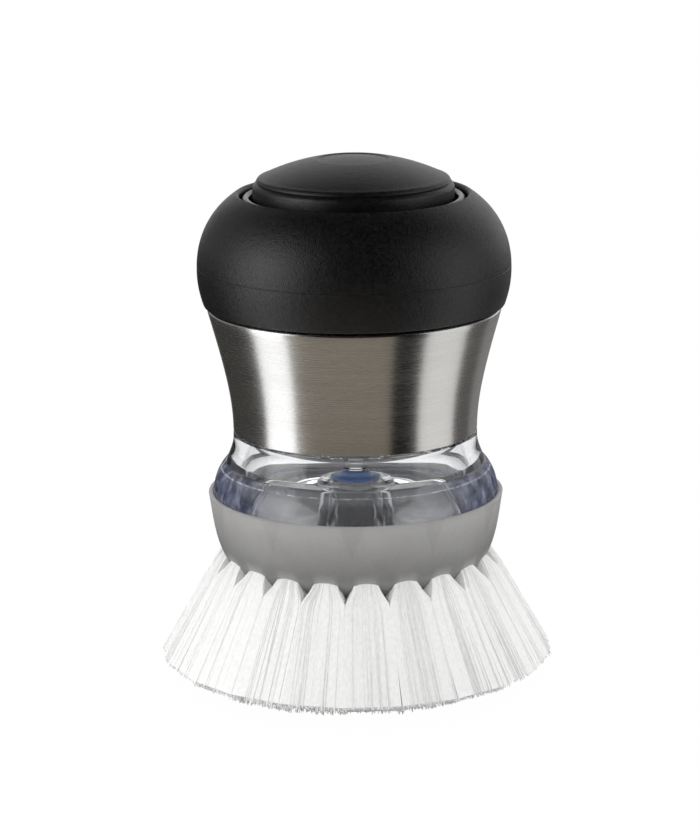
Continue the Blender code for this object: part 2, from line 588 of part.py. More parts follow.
def build_knob(axis):
    lip_foot = KNOB_RIM_HEIGHT - GRIP_LIP_DEPTH
    shell_inset = GRIP_THICKNESS + CLEARANCE
    shell_top = lip_foot - CLEARANCE
    foot_inner = SHELL_OUTER_RADIUS + CLEARANCE

    side_top = KNOB_RIM_HEIGHT - KNOB_RIM_ROUND / 2
    side = knob_curve(0, side_top, KNOB_FOOT_HEIGHT + KNOB_FOOT_ROUND)
    foot_radius = side[-1][0]
    foot = [(foot_radius - KNOB_FOOT_ROUND, KNOB_FOOT_HEIGHT), (foot_inner, KNOB_FOOT_HEIGHT)]
    hollow = knob_curve(GRIP_THICKNESS, lip_foot, KNOB_EQUATOR_HEIGHT, 6, 1)[::-1]
    outline = [(KNOB_OPENING_RADIUS, lip_foot), (KNOB_OPENING_RADIUS, side_top - KNOB_RIM_ROUND / 2)]
    outline += [(KNOB_OPENING_RADIUS + KNOB_RIM_ROUND / 3, side_top), *side, *foot]
    outline += [(foot_inner, KNOB_EQUATOR_HEIGHT - KNOB_FOOT_ROUND), *hollow[1:]]
    turned("knob_grip", outline, soft_black, axis)

    nut_bore = NECK_RADIUS + THREAD_PLAY
    skirt_foot = SLEEVE_TOP_HEIGHT + CLEARANCE + COLLAR_FLANGE + 2 * CLEARANCE
    rod_bore = ROD_RADIUS + CLEARANCE
    shell_side = knob_curve(shell_inset, shell_top, KNOB_EQUATOR_HEIGHT, 6, 1)[:-1]
    outline = [
        (nut_bore, DECK_TOP_HEIGHT + CLEARANCE), (WELL_RADIUS, DECK_TOP_HEIGHT + CLEARANCE),
        (WELL_RADIUS, WELL_LEDGE_HEIGHT),
        (WELL_RING_SEAT_RADIUS, WELL_LEDGE_HEIGHT), (WELL_RING_SEAT_RADIUS, shell_top),
        *shell_side,
        (SHELL_OUTER_RADIUS, KNOB_EQUATOR_HEIGHT - KNOB_FOOT_ROUND - CLEARANCE),
        (SHELL_OUTER_RADIUS, skirt_foot), (nut_bore, skirt_foot),
    ]
    turned("knob_shell", outline, black_plastic, axis)

    deck_radius = nut_bore - CLEARANCE
    pocket_top = HUB_BOTTOM_HEIGHT + SEAL_POCKET_DEPTH
    outline = [
        (rod_bore, HUB_TOP_HEIGHT), (HUB_RADIUS, HUB_TOP_HEIGHT), (HUB_RADIUS, DECK_TOP_HEIGHT),
        (deck_radius, DECK_TOP_HEIGHT), (deck_radius, DECK_BOTTOM_HEIGHT), (HUB_RADIUS, DECK_BOTTOM_HEIGHT),
        (HUB_RADIUS, HUB_BOTTOM_HEIGHT), (SEAL_POCKET_RADIUS, HUB_BOTTOM_HEIGHT),
        (SEAL_POCKET_RADIUS, pocket_top), (rod_bore, pocket_top),
    ]
    turned("pump_deck", outline, black_plastic, axis)

    ring_foot = WELL_LEDGE_HEIGHT + CLEARANCE
    ring_top = WELL_RING_TOP_HEIGHT
    soften = CLEARANCE
    outline = [
        (WELL_RING_BORE, ring_top - soften), (WELL_RING_BORE + soften, ring_top),
        (WELL_RING_RADIUS - soften, ring_top), (WELL_RING_RADIUS, ring_top - soften),
        (WELL_RING_RADIUS, ring_foot), (WELL_RING_BORE, ring_foot),
    ]
    turned("well_ring", outline, gloss_black, axis)

    seal_outer = SEAL_POCKET_RADIUS - CLEARANCE
    seal_foot = HUB_BOTTOM_HEIGHT + CLEARANCE
    seal_top = HUB_BOTTOM_HEIGHT + SEAL_POCKET_DEPTH - CLEARANCE
    outline = [
        (rod_bore, seal_top), (seal_outer, seal_top), (seal_outer, seal_foot),
        (rod_bore + CLEARANCE, seal_foot), (rod_bore, seal_foot + CLEARANCE),
    ]
    turned("rod_seal", outline, clear_silicone, axis, SMALL_STEPS)

    cap_inner = HUB_RADIUS + CLEARANCE
    cap_outer = cap_inner + SEAL_CAP_WALL
    cap_floor = HUB_BOTTOM_HEIGHT - CLEARANCE
    cap_top = HUB_BOTTOM_HEIGHT + SEAL_POCKET_DEPTH - CLEARANCE
    outline = [
        (cap_inner, cap_top), (cap_outer, cap_top), (cap_outer, cap_floor - SEAL_CAP_FLOOR),
        (rod_bore, cap_floor - SEAL_CAP_FLOOR), (rod_bore, cap_floor), (cap_inner, cap_floor),
    ]
    turned("seal_cap", outline, white_plastic, axis, SMALL_STEPS)


def build_spring(axis):
    foot = DECK_TOP_HEIGHT + CLEARANCE + SPRING_WIRE_RADIUS
    ceiling = dome_height(SPRING_RADIUS, BUTTON_SKIN + CLEARANCE + CORE_WALL)
    top = ceiling - CLEARANCE - SPRING_WIRE_RADIUS
    curve = bpy.data.curves.new("return_spring", "CURVE")
    curve.dimensions = "3D"
    curve.bevel_depth = SPRING_WIRE_RADIUS
    curve.bevel_resolution = 1
    curve.use_fill_caps = True
    spline = curve.splines.new("POLY")
    count = SPRING_TURNS * SPRING_POINTS_PER_TURN
    spline.points.add(count)
    for i, point in enumerate(spline.points):
        turn = tau * i / SPRING_POINTS_PER_TURN
        height = foot + (top - foot) * i / count
        point.co = (SPRING_RADIUS * cos(turn), SPRING_RADIUS * sin(turn), height, 1)
    pitch = (top - foot) / SPRING_TURNS
    print("return_spring: least gap between turns", round((pitch - 2 * SPRING_WIRE_RADIUS) * 1000, 3), "mm")
    item = bpy.data.objects.new("return_spring", curve)
    curve.materials.append(spring_steel)
    item.parent = axis
    parts.objects.link(item)


def build_button(axis):
    sides = 5
    skin_foot = BUTTON_EDGE_HEIGHT - BUTTON_BEAD_HEIGHT
    recess_floor = dome_height(BUTTON_RECESS_RADIUS, BUTTON_RECESS_DEPTH)
    bead_centre = (BUTTON_BEAD_RADIUS - BUTTON_BEAD_ROUND, BUTTON_EDGE_HEIGHT - BUTTON_CREASE - BUTTON_BEAD_ROUND)
    inner_radius = BUTTON_BEAD_RADIUS - BUTTON_SKIN
    top = [(0, recess_floor), (BUTTON_RECESS_RADIUS, recess_floor)]
    for i in range(sides + 1):
        radius = BUTTON_RECESS_RADIUS + (BUTTON_EDGE_RADIUS - BUTTON_RECESS_RADIUS) * i / sides
        top.append((radius, dome_height(radius, 0)))
    rim = [
        (BUTTON_EDGE_RADIUS - BUTTON_CREASE, BUTTON_EDGE_HEIGHT - BUTTON_CREASE),
        *arc(bead_centre, BUTTON_BEAD_ROUND, 75, 0, 4),
        (BUTTON_BEAD_RADIUS, skin_foot), (inner_radius, skin_foot),
    ]
    under = []
    for i in range(sides):
        radius = inner_radius * (1 - i / sides)
        under.append((radius, dome_height(radius, BUTTON_SKIN)))
    under.append((0, dome_height(0, BUTTON_SKIN)))
    turned("button_skin", top + rim + under, soft_black, axis, closed=False)

    core_shoulder = inner_radius - CLEARANCE
    skirt_top = skin_foot - CLEARANCE
    flange_top = WELL_LEDGE_HEIGHT
    skirt_inner = core_shoulder - CORE_WALL
    boss_bore = ROD_RADIUS + CLEARANCE
    boss_outer = boss_bore + SOCKET_WALL
    over = BUTTON_SKIN + CLEARANCE
    below = over + CORE_WALL
    outline = [(0, dome_height(0, over))]
    outline += [(core_shoulder * i / 4, dome_height(core_shoulder * i / 4, over)) for i in (1, 2, 3, 4)]
    outline += [
        (core_shoulder, skirt_top), (CORE_SKIRT_RADIUS, skirt_top), (CORE_SKIRT_RADIUS, flange_top),
        (CORE_FLANGE_RADIUS, flange_top), (CORE_FLANGE_RADIUS, CORE_FOOT_HEIGHT), (skirt_inner, CORE_FOOT_HEIGHT),
        (skirt_inner, dome_height(skirt_inner, below)),
        (SPRING_RADIUS * 2, dome_height(SPRING_RADIUS * 2, below)),
        (boss_outer, dome_height(boss_outer, below)), (boss_outer, CORE_BOSS_BOTTOM_HEIGHT),
        (boss_bore, CORE_BOSS_BOTTOM_HEIGHT), (boss_bore, ROD_TOP_HEIGHT + CLEARANCE),
        (0, ROD_TOP_HEIGHT + CLEARANCE),
    ]
    turned("button_core", outline, black_plastic, axis, closed=False)

    shoulder = PISTON_TOP_HEIGHT + CLEARANCE
    piston_foot = PISTON_TOP_HEIGHT - PISTON_LENGTH
    spigot_foot = piston_foot - CLEARANCE
    outline = [
        (0, ROD_TOP_HEIGHT), (ROD_RADIUS, ROD_TOP_HEIGHT), (ROD_RADIUS, shoulder),
        (SPIGOT_RADIUS, shoulder), (SPIGOT_RADIUS, spigot_foot), (0, spigot_foot),
    ]
    turned("plunger_rod", outline, clear_plastic, axis, SMALL_STEPS, closed=False)

    cup_bore = SPIGOT_RADIUS + CLEARANCE
    web_foot = PISTON_TOP_HEIGHT - PISTON_WEB
    lip = PISTON_RADIUS - VALVE_SKIN
    soften = CLEARANCE
    outline = [
        (cup_bore, PISTON_TOP_HEIGHT), (PISTON_RADIUS - soften, PISTON_TOP_HEIGHT),
        (PISTON_RADIUS, PISTON_TOP_HEIGHT - soften), (PISTON_RADIUS, piston_foot), (lip, piston_foot),
        (lip - soften, web_foot), (cup_bore, web_foot),
    ]
    turned("piston_cup", outline, blue_silicone, axis, SMALL_STEPS)

    clip_top = web_foot - CLEARANCE
    clip_foot = clip_top - CLIP_THICKNESS
    outline = [(cup_bore, clip_top), (CLIP_RADIUS, clip_top), (CLIP_RADIUS, clip_foot), (cup_bore, clip_foot)]
    turned("rod_clip", outline, spring_steel, axis, SMALL_STEPS)


def build_head_seal(axis):
    centre = (RING_GROOVE_RADIUS, BOSS_BOTTOM_HEIGHT - CLEARANCE - RING_CORD_RADIUS)
    outline = arc(centre, RING_CORD_RADIUS, 90, 90 - 360, RING_CORD_SIDES)[:-1]
    turned("head_seal", outline, clear_silicone, axis, SMALL_STEPS)


def build_head(axis):
    groove_half = RING_CORD_RADIUS + 1.5 * CLEARANCE
    groove_floor = BOSS_BOTTOM_HEIGHT - 2 * CLEARANCE - 2 * RING_CORD_RADIUS
    side = head_side()
    upper_side = [point for point in side if point[1] > HEAD_SPLIT_HEIGHT + CLEARANCE]
    rim_inner = HEAD_RIM_RADIUS - HEAD_RIM_WALL
    inner = []
    for radius, height in side[4:0:-1]:
        inner.append((radius - HEAD_WALL, height))
    outlet_outer = OUTLET_RADIUS + OUTLET_WALL
    floor = HEAD_FLOOR_HEIGHT
    hub_foot = underside_height(0)
    outline = [
        (rim_inner, HEAD_RIM_HEIGHT), (HEAD_RIM_RADIUS - CLEARANCE, HEAD_RIM_HEIGHT),
        *upper_side, (head_radius_at(HEAD_SPLIT_HEIGHT), HEAD_SPLIT_HEIGHT),
        (outlet_outer, HEAD_SPLIT_HEIGHT), (outlet_outer, hub_foot), (OUTLET_RADIUS, hub_foot),
        (OUTLET_RADIUS, floor), (RING_GROOVE_RADIUS - groove_half, floor),
        (RING_GROOVE_RADIUS - groove_half, groove_floor), (RING_GROOVE_RADIUS + groove_half, groove_floor),
        (RING_GROOVE_RADIUS + groove_half, floor), (inner[0][0] - HEAD_CORNER, floor),
        *inner,
    ]
    head = turned("brush_head", outline, grey_plastic, axis)

    ribs = bmesh.new()
    rib_inner = SKIRT_RADIUS + LUG_REACH + CLEARANCE
    for i in range(RIB_COUNT):
        add_rib(ribs, rib_inner, tau * (i + 0.5) / RIB_COUNT - pi / 2)
    combine(head, add_guide("head_ribs", mesh_from("head_ribs", ribs)), "UNION")

    fittings = bmesh.new()
    low = LUG_LOW_HEIGHT + LUG_CLIMB + LUG_THICKNESS + CLEARANCE
    high = low + LUG_THICKNESS
    tip = SKIRT_RADIUS + CLEARANCE
    root = HEAD_RIM_RADIUS - 1.5 * HEAD_WALL
    for i in range(LUG_COUNT):
        profile = [(tip, low), (root, low), (root, high), (tip, high)]
        add_arc_solid(fittings, profile, tau * i / LUG_COUNT, LUG_ARC, LUG_STEPS, -LUG_CLIMB)
    combine(head, add_guide("head_lugs", mesh_from("head_lugs", fittings)), "UNION")


def add_rib(form, inner_radius, turn):
    """A rib inside the bowl, wide at its top and narrow at its foot."""
    height = RIB_TOP_HEIGHT - RIB_FOOT_HEIGHT
    depth = HEAD_RIM_RADIUS - 1.5 * HEAD_WALL - inner_radius
    cube = bmesh.ops.create_cube(form, size=1)["verts"]
    for vertex in cube:
        top = vertex.co.z > 0
        width = RIB_TOP_WIDTH if top else RIB_FOOT_WIDTH
        reach = depth if top else depth - HEAD_WALL / 2
        vertex.co.y *= width
        vertex.co.x = inner_radius + (reach if vertex.co.x > 0 else 0)
        vertex.co.z = RIB_FOOT_HEIGHT + height * (vertex.co.z + 1 / 2)
    bmesh.ops.rotate(form, verts=cube, cent=(0, 0, 0), matrix=Matrix.Rotation(turn, 3, "Z"))


def add_strand(form, root, tip):
    """One straight strand, whose ends lie level, so that the face ends are flat."""
    strand = bmesh.ops.create_cone(
        form, cap_ends=True, segments=STRAND_SIDES, radius1=STRAND_RADIUS, radius2=STRAND_RADIUS,
        depth=root.z - tip.z, matrix=Matrix.Translation((0, 0, (root.z + tip.z) / 2)),
    )["verts"]
    middle = (root.z + tip.z) / 2
    for vertex in strand:
        end = root if vertex.co.z > middle else tip
        vertex.co.x += end.x
        vertex.co.y += end.y


def tuft_places(count):
    """Places of a tuft's strands as shares of its radius, one ring round a middle strand."""
    ring = count - 1
    return [(0, 0)] + [(cos(tau * i / ring), sin(tau * i / ring)) for i in range(ring)]


def build_tufts(form, first_angle, angle):
    for root_radius, tip_radius, tip_height, spread, tufts, strands in TUFT_RINGS:
        for j in range(tufts):
            turn = first_angle + angle * (j + 1 / 2) / tufts
            for k, (across, along) in enumerate(tuft_places(strands)):
                ragged = TIP_RAGGEDNESS * sin(7 * k + 3 * j)
                root_r = root_radius + TUFT_RADIUS * across
                root_a = TUFT_RADIUS * along
                tip_r = tip_radius + spread * across / 2
                tip_a = spread * along
                bottom = max(tip_height + ragged + spread * across / 4, 0) if tip_height > 0 else 0
                top = underside_height(min(root_r, HEAD_FOOT_RADIUS)) + STRAND_ROOT_DEPTH
                spin = Matrix.Rotation(turn, 3, "Z")
                add_strand(form, spin @ Vector((root_r, root_a, top)), spin @ Vector((tip_r, tip_a, bottom)))


def build_bristles(axis):
    top = HEAD_SPLIT_HEIGHT - CLEARANCE
    inner = OUTLET_RADIUS + OUTLET_WALL + CLEARANCE
    middle = (inner + HEAD_FOOT_RADIUS) / 2
    under = [(radius, underside_height(radius)) for radius in (inner, middle)]
    lower_side = [point for point in head_side() if point[1] < top - CLEARANCE]
    outline = [(inner, top), *under, *lower_side[::-1], (head_radius_at(top), top)]
    angle = tau / SLICE_COUNT
    for i in range(SLICE_COUNT):
        name = f"bristle_segment_{i + 1}"
        first = angle * (i - 1 / 2) - pi / 2 + FRONT_TUFT_TURN
        slab = bmesh.new()
        add_arc_solid(slab, outline, first + SLICE_GAP_ANGLE / 2, angle - SLICE_GAP_ANGLE, SLICE_STEPS)
        segment = add_object(name, mesh_from(name, slab), white_bristle, axis)
        strands = bmesh.new()
        build_tufts(strands, first, angle)
        combine(segment, add_guide(name + "_strands", mesh_from(name + "_strands", strands)), "UNION")


clear_scene()
parts = make_collection("palm_brush")
cutters = make_collection("cutters")

clear_plastic = make_material("clear_plastic", (0.90, 0.92, 0.95), 0.05, alpha=0.35, transmission=0.9)
clear_silicone = make_material("clear_silicone", (0.80, 0.80, 0.80), 0.40)
blue_silicone = make_material("blue_silicone", (0.022, 0.07, 0.17), 0.35)
white_plastic = make_material("white_plastic", (0.80, 0.80, 0.79), 0.30)
black_plastic = make_material("black_plastic", (0.012, 0.012, 0.013), 0.35)
gloss_black = make_material("gloss_black", (0.008, 0.008, 0.009), 0.12)
soft_black = make_material("soft_black", (0.014, 0.014, 0.015), 0.55)
brushed_steel = make_material("brushed_steel", (0.56, 0.55, 0.53), 0.30, metallic=1.0)
spring_steel = make_material("spring_steel", (0.50, 0.50, 0.50), 0.25, metallic=1.0)
grey_plastic = make_material("grey_plastic", (0.30, 0.30, 0.29), 0.35)
white_bristle = make_material("white_bristle", (0.85, 0.85, 0.84), 0.45)

vessel_axis = make_axis("vessel_axis")
knob_axis = make_axis("knob_axis", vessel_axis)
button_axis = make_axis("button_axis", knob_axis)
head_axis = make_axis("head_axis", vessel_axis)

build_vessel(vessel_axis)
build_base(vessel_axis)
build_sleeve(vessel_axis)
build_collar(vessel_axis)
build_valve(vessel_axis)
build_gasket(knob_axis)
build_knob(knob_axis)
build_spring(knob_axis)
build_button(button_axis)
build_head_seal(head_axis)
build_head(head_axis)
build_bristles(head_axis)
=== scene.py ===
import bmesh
import bpy
import random
from math import atan2, cos, pi, radians, sin, sqrt, tau
from mathutils import Matrix, Vector


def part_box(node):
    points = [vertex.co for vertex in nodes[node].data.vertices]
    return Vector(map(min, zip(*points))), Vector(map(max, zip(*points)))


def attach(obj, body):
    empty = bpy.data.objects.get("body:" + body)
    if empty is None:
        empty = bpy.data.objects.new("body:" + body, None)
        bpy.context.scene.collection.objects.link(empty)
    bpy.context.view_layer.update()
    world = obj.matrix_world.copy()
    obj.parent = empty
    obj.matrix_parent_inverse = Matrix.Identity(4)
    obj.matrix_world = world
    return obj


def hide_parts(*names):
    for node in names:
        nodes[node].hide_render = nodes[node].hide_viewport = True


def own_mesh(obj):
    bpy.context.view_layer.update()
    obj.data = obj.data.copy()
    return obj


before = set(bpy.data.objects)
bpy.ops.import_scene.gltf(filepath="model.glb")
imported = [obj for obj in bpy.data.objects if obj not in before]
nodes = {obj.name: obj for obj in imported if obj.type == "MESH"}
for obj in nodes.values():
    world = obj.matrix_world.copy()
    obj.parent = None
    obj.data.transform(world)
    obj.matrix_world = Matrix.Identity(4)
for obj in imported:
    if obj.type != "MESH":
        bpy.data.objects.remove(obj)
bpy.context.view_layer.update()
scene = bpy.context.scene
scene.view_settings.view_transform = "Standard"

# The camera stands 0.6 m away, a little above the knob, and looks down on the brush.
# Its lens, height and slight roll were read from the ellipses of the knob, sleeve and head.
camera_distance = 0.5935
camera_height = 0.1998
look_down = radians(14.03)
look_right = radians(-0.10)
camera_roll = radians(-0.45)
frame_height_px = 840
focal_px = 3070
sensor_height = 24.0
camera_data = bpy.data.cameras.new("camera")
camera_data.sensor_fit = "VERTICAL"
camera_data.sensor_height = sensor_height
camera_data.lens = focal_px / frame_height_px * sensor_height
camera_data.clip_start = 0.01
camera = bpy.data.objects.new("camera", camera_data)
camera.matrix_world = (
    Matrix.Translation((0, -camera_distance, camera_height))
    @ Matrix.Rotation(-look_right, 4, "Z")
    @ Matrix.Rotation(pi / 2 - look_down, 4, "X")
    @ Matrix.Rotation(camera_roll, 4, "Z")
)
scene.collection.objects.link(camera)
scene.camera = camera


# The studio is a pale table in a white room, lit by two tall softboxes and one overhead.
# Boards of several greys round the brush are seen only in its reflections and through its clear plastic,
# where they give the steel its bands and the vessel its tones.
def use_shader(material, kind):
    """The material's emptied node tree, its new shader and its output, already linked."""
    material.use_nodes = True
    tree = material.node_tree
    tree.nodes.clear()
    output = tree.nodes.new("ShaderNodeOutputMaterial")
    shader = tree.nodes.new(kind)
    tree.links.new(shader.outputs[0], output.inputs["Surface"])
    return tree, shader, output


def math(tree, operation, *values):
    """A Math node fed with numbers or sockets."""
    node = tree.nodes.new("ShaderNodeMath")
    node.operation = operation
    for i, value in enumerate(values):
        if isinstance(value, (int, float)):
            node.inputs[i].default_value = value
        else:
            tree.links.new(value, node.inputs[i])
    return node.outputs[0]


def mix_colors(tree, share, first, second):
    """A colour that goes from the first to the second with the share; each is a colour or a socket."""
    mix = tree.nodes.new("ShaderNodeMix")
    mix.data_type = "RGBA"
    tree.links.new(share, mix.inputs["Factor"])
    for label, value in (("A", first), ("B", second)):
        if isinstance(value, tuple):
            mix.inputs[label].default_value = (*value, 1)
        else:
            tree.links.new(value, mix.inputs[label])
    return mix.outputs["Result"]


def mix_shaders(tree, share, first, second):
    """A shader that goes from the first to the second with the share."""
    mix = tree.nodes.new("ShaderNodeMixShader")
    tree.links.new(share, mix.inputs[0])
    tree.links.new(first.outputs[0], mix.inputs[1])
    tree.links.new(second.outputs[0], mix.inputs[2])
    return mix


def mesh_of(name, form, sharp=None):
    """The form's mesh, which is smooth up to the sharp angle in degrees, or flat where none is given."""
    mesh = bpy.data.meshes.new(name)
    form.to_mesh(mesh)
    form.free()
    if sharp is not None:
        mesh.shade_smooth()
        mesh.set_sharp_from_angle(angle=radians(sharp))
    return mesh


def spun(name, outline, start=0.0, angle=tau, steps=128, closed=False):
    """A surface turned round Z from an outline of (radius, height) points."""
    form = bmesh.new()
    begin = Matrix.Rotation(start, 3, "Z")
    corners = [form.verts.new(begin @ Vector((radius, 0, height))) for radius, height in outline]
    sides = [form.edges.new(pair) for pair in zip(corners, corners[1:])]
    if closed:
        sides.append(form.edges.new((corners[-1], corners[0])))
    whole = angle == tau
    bmesh.ops.spin(
        form, geom=corners + sides, cent=(0, 0, 0), axis=(0, 0, 1), angle=angle,
        steps=steps, use_merge=whole, use_duplicate=False,
    )
    bmesh.ops.remove_doubles(form, verts=form.verts, dist=1e-6)
    bmesh.ops.recalc_face_normals(form, faces=form.faces)
    return mesh_of(name, form, 18)


def place(name, mesh, material):
    item = bpy.data.objects.new(name, mesh)
    mesh.materials.append(material)
    scene.collection.objects.link(item)
    return item


world = bpy.data.worlds.new("white_room")
scene.world = world
world.use_nodes = True
room = world.node_tree
room.nodes.clear()
room_light = room.nodes.new("ShaderNodeBackground")
room_light.inputs["Color"].default_value = (1, 1, 1, 1)
room_light.inputs["Strength"].default_value = 1.0
room_output = room.nodes.new("ShaderNodeOutputWorld")
room.links.new(room_light.outputs[0], room_output.inputs["Surface"])

# The table glows white where the camera sees it, directly or through clear plastic, but for a faint shadow.
table_size = 6.0
table_grey = (0.90, 0.90, 0.90, 1)
table_glow_share = 0.985
table_material = bpy.data.materials.new("pale_table")
tree, shader, output = use_shader(table_material, "ShaderNodeBsdfPrincipled")
shader.inputs["Base Color"].default_value = table_grey
shader.inputs["Roughness"].default_value = 0.6
glow = tree.nodes.new("ShaderNodeEmission")
glow.inputs["Color"].default_value = (1, 1, 1, 1)
rays = tree.nodes.new("ShaderNodeLightPath").outputs
table_seen = math(tree, "MAXIMUM", rays["Is Camera Ray"], rays["Is Transmission Ray"])
table_look = mix_shaders(tree, math(tree, "MULTIPLY", table_seen, table_glow_share), shader, glow)
tree.links.new(table_look.outputs[0], output.inputs["Surface"])
table_form = bmesh.new()
bmesh.ops.create_grid(table_form, x_segments=1, y_segments=1, size=table_size / 2)
table = place("table", mesh_of("table", table_form), table_material)

board_gap = 0.0004
board_inner = 0.050
board_reach = 0.90
board_height = 0.90
# Each board: where it starts and ends round the brush, its colour, its wall's grey,
# and its colour seen through clear plastic
boards = {
    "board_front": (-54, 31, (0.200, 0.178, 0.144), 0.004, (0.190, 0.172, 0.158)),
    "board_front_right": (31, 57, (0.008, 0.007, 0.006), 0.004, (0.080, 0.080, 0.090)),
    "board_right": (57, 99, (0.700, 0.695, 0.680), 0.25, (0.700, 0.695, 0.700)),
    "board_back_right": (99, 128, (0.085, 0.080, 0.075), 0.25, (0.450, 0.455, 0.475)),
    "board_back": (128, 200, (0.200, 0.195, 0.190), 0.75, (0.600, 0.600, 0.620)),
    "board_back_left": (200, 274, (0.040, 0.038, 0.035), 0.25, (0.450, 0.455, 0.475)),
}


def add_board(name, outline, start, end, color, color_in_clear):
    """A glowing board, which shows another colour to rays that have passed through clear plastic."""
    material = bpy.data.materials.new(name)
    tree, shader, _ = use_shader(material, "ShaderNodeEmission")
    rays = tree.nodes.new("ShaderNodeLightPath").outputs
    passed = math(tree, "MINIMUM", rays["Transmission Depth"], 1.0)
    tree.links.new(mix_colors(tree, passed, color, color_in_clear), shader.inputs["Color"])
    board = place(name, spun(name, outline, radians(start - 90), radians(end - start), 24), material)
    board.visible_camera = False
    board.visible_diffuse = False
    board.visible_transmission = False
    board.visible_shadow = False


board_flat = [(board_inner, board_gap), (board_reach, board_gap)]
board_wall = [(board_reach, board_gap), (board_reach, board_height)]
for name, (start, end, color, wall_grey, in_clear) in boards.items():
    add_board(name, board_flat, start, end, color, in_clear)
    add_board(name + "_wall", board_wall, start, end, (wall_grey, wall_grey, wall_grey), in_clear)
board_ceiling = [(0.001, board_height), (board_reach, board_height)]
add_board("board_ceiling", board_ceiling, 0, 359.9, (0.004, 0.004, 0.004), (0.30, 0.30, 0.31))

brush_middle = Vector((0, 0, 0.06))


def add_softbox(name, location, width, tall, power):
    """A soft light turned to the middle of the brush."""
    lamp = bpy.data.lights.new(name, "AREA")
    lamp.shape = "RECTANGLE"
    lamp.size = width
    lamp.size_y = tall
    lamp.energy = power
    softbox = bpy.data.objects.new(name, lamp)
    softbox.location = location
    softbox.rotation_euler = (brush_middle - softbox.location).to_track_quat("-Z", "Y").to_euler()
    scene.collection.objects.link(softbox)
    return softbox


softbox_distance = 0.62
softbox_height = 0.20
# Each standing softbox: direction round the brush and power
for name, turn, power in (("softbox_left", radians(-68), 0.90), ("softbox_right", radians(77), 0.45)):
    stand = (softbox_distance * sin(turn), -softbox_distance * cos(turn), softbox_height)
    add_softbox(name, stand, 0.46, 0.46, power)
overhead = add_softbox("softbox_overhead", (-0.05, 0.30, 0.62), 0.36, 0.24, 1.6)
overhead.visible_glossy = False


# The soap vessel is moulded in clear polycarbonate: a tube with a bulged foot, and a welded base.
# The base's floor carries the pump cylinder, the valve boss and the lugs.
def round_corner(centre, radius, start, end, count=6):
    """Points of a round corner from one angle to the other, in degrees."""
    turns = [radians(start + (end - start) * i / count) for i in range(count + 1)]
    return [(centre[0] + radius * cos(t), centre[1] + radius * sin(t)) for t in turns]


def curve(start, first_handle, second_handle, end, count):
    """Points of a cubic curve through an outline's flowing stretch."""
    points = []
    for i in range(count + 1):
        t = i / count
        weights = ((1 - t) ** 3, 3 * t * (1 - t) ** 2, 3 * t * t * (1 - t), t ** 3)
        places = (start, first_handle, second_handle, end)
        points.append(tuple(sum(w * p[k] for w, p in zip(weights, places)) for k in (0, 1)))
    return points


def new_finish(name):
    """A new material with its node tree, its Principled shader and its output."""
    material = bpy.data.materials.new(name)
    return (material, *use_shader(material, "ShaderNodeBsdfPrincipled"))


def scaled_noise(tree, scale_xyz, scale, detail, roughness=0.5):
    """Noise on object coordinates, stretched by scale_xyz."""
    where = tree.nodes.new("ShaderNodeTexCoord")
    stretch = tree.nodes.new("ShaderNodeMapping")
    stretch.inputs["Scale"].default_value = scale_xyz
    noise = tree.nodes.new("ShaderNodeTexNoise")
    noise.inputs["Detail"].default_value = detail
    noise.inputs["Roughness"].default_value = roughness
    tree.links.new(where.outputs["Object"], stretch.inputs["Vector"])
    tree.links.new(stretch.outputs["Vector"], noise.inputs["Vector"])
    if isinstance(scale, (int, float)):
        noise.inputs["Scale"].default_value = scale
    else:
        tree.links.new(scale, noise.inputs["Scale"])
    return noise.outputs["Fac"]


def ramp(tree, value, low, high, from_low=0.3, from_high=0.7):
    """A colour or a number that runs from low to high with the value."""
    if isinstance(low, (int, float)):
        node = tree.nodes.new("ShaderNodeMapRange")
        node.inputs["From Min"].default_value = from_low
        node.inputs["From Max"].default_value = from_high
        node.inputs["To Min"].default_value = low
        node.inputs["To Max"].default_value = high
        tree.links.new(value, node.inputs["Value"])
        return node.outputs["Result"]
    node = tree.nodes.new("ShaderNodeValToRGB")
    node.color_ramp.elements[0].position = from_low
    node.color_ramp.elements[0].color = (*low, 1)
    node.color_ramp.elements[1].position = from_high
    node.color_ramp.elements[1].color = (*high, 1)
    tree.links.new(value, node.inputs["Fac"])
    return node.outputs["Color"]


def piece_place(tree):
    """The X, Y and Z sockets of the shaded place in the piece."""
    split = tree.nodes.new("ShaderNodeSeparateXYZ")
    tree.links.new(tree.nodes.new("ShaderNodeTexCoord").outputs["Object"], split.inputs[0])
    return split.outputs


def bump(tree, shader, height, distance, strength=1.0):
    node = tree.nodes.new("ShaderNodeBump")
    node.inputs["Distance"].default_value = distance
    node.inputs["Strength"].default_value = strength
    tree.links.new(height, node.inputs["Height"])
    tree.links.new(node.outputs["Normal"], shader.inputs["Normal"])


clear_plastic, tree, shader, output = new_finish("clear_plastic")
shader.inputs["Transmission Weight"].default_value = 1.0
shader.inputs["IOR"].default_value = 1.50
flow_marks = scaled_noise(tree, (1, 1, 0.4), 120, 2)
tree.links.new(ramp(tree, flow_marks, (0.95, 0.955, 0.97), (0.975, 0.98, 0.985)), shader.inputs["Base Color"])
tree.links.new(ramp(tree, flow_marks, 0.012, 0.035), shader.inputs["Roughness"])
bump(tree, shader, flow_marks, 0.00012, 0.35)
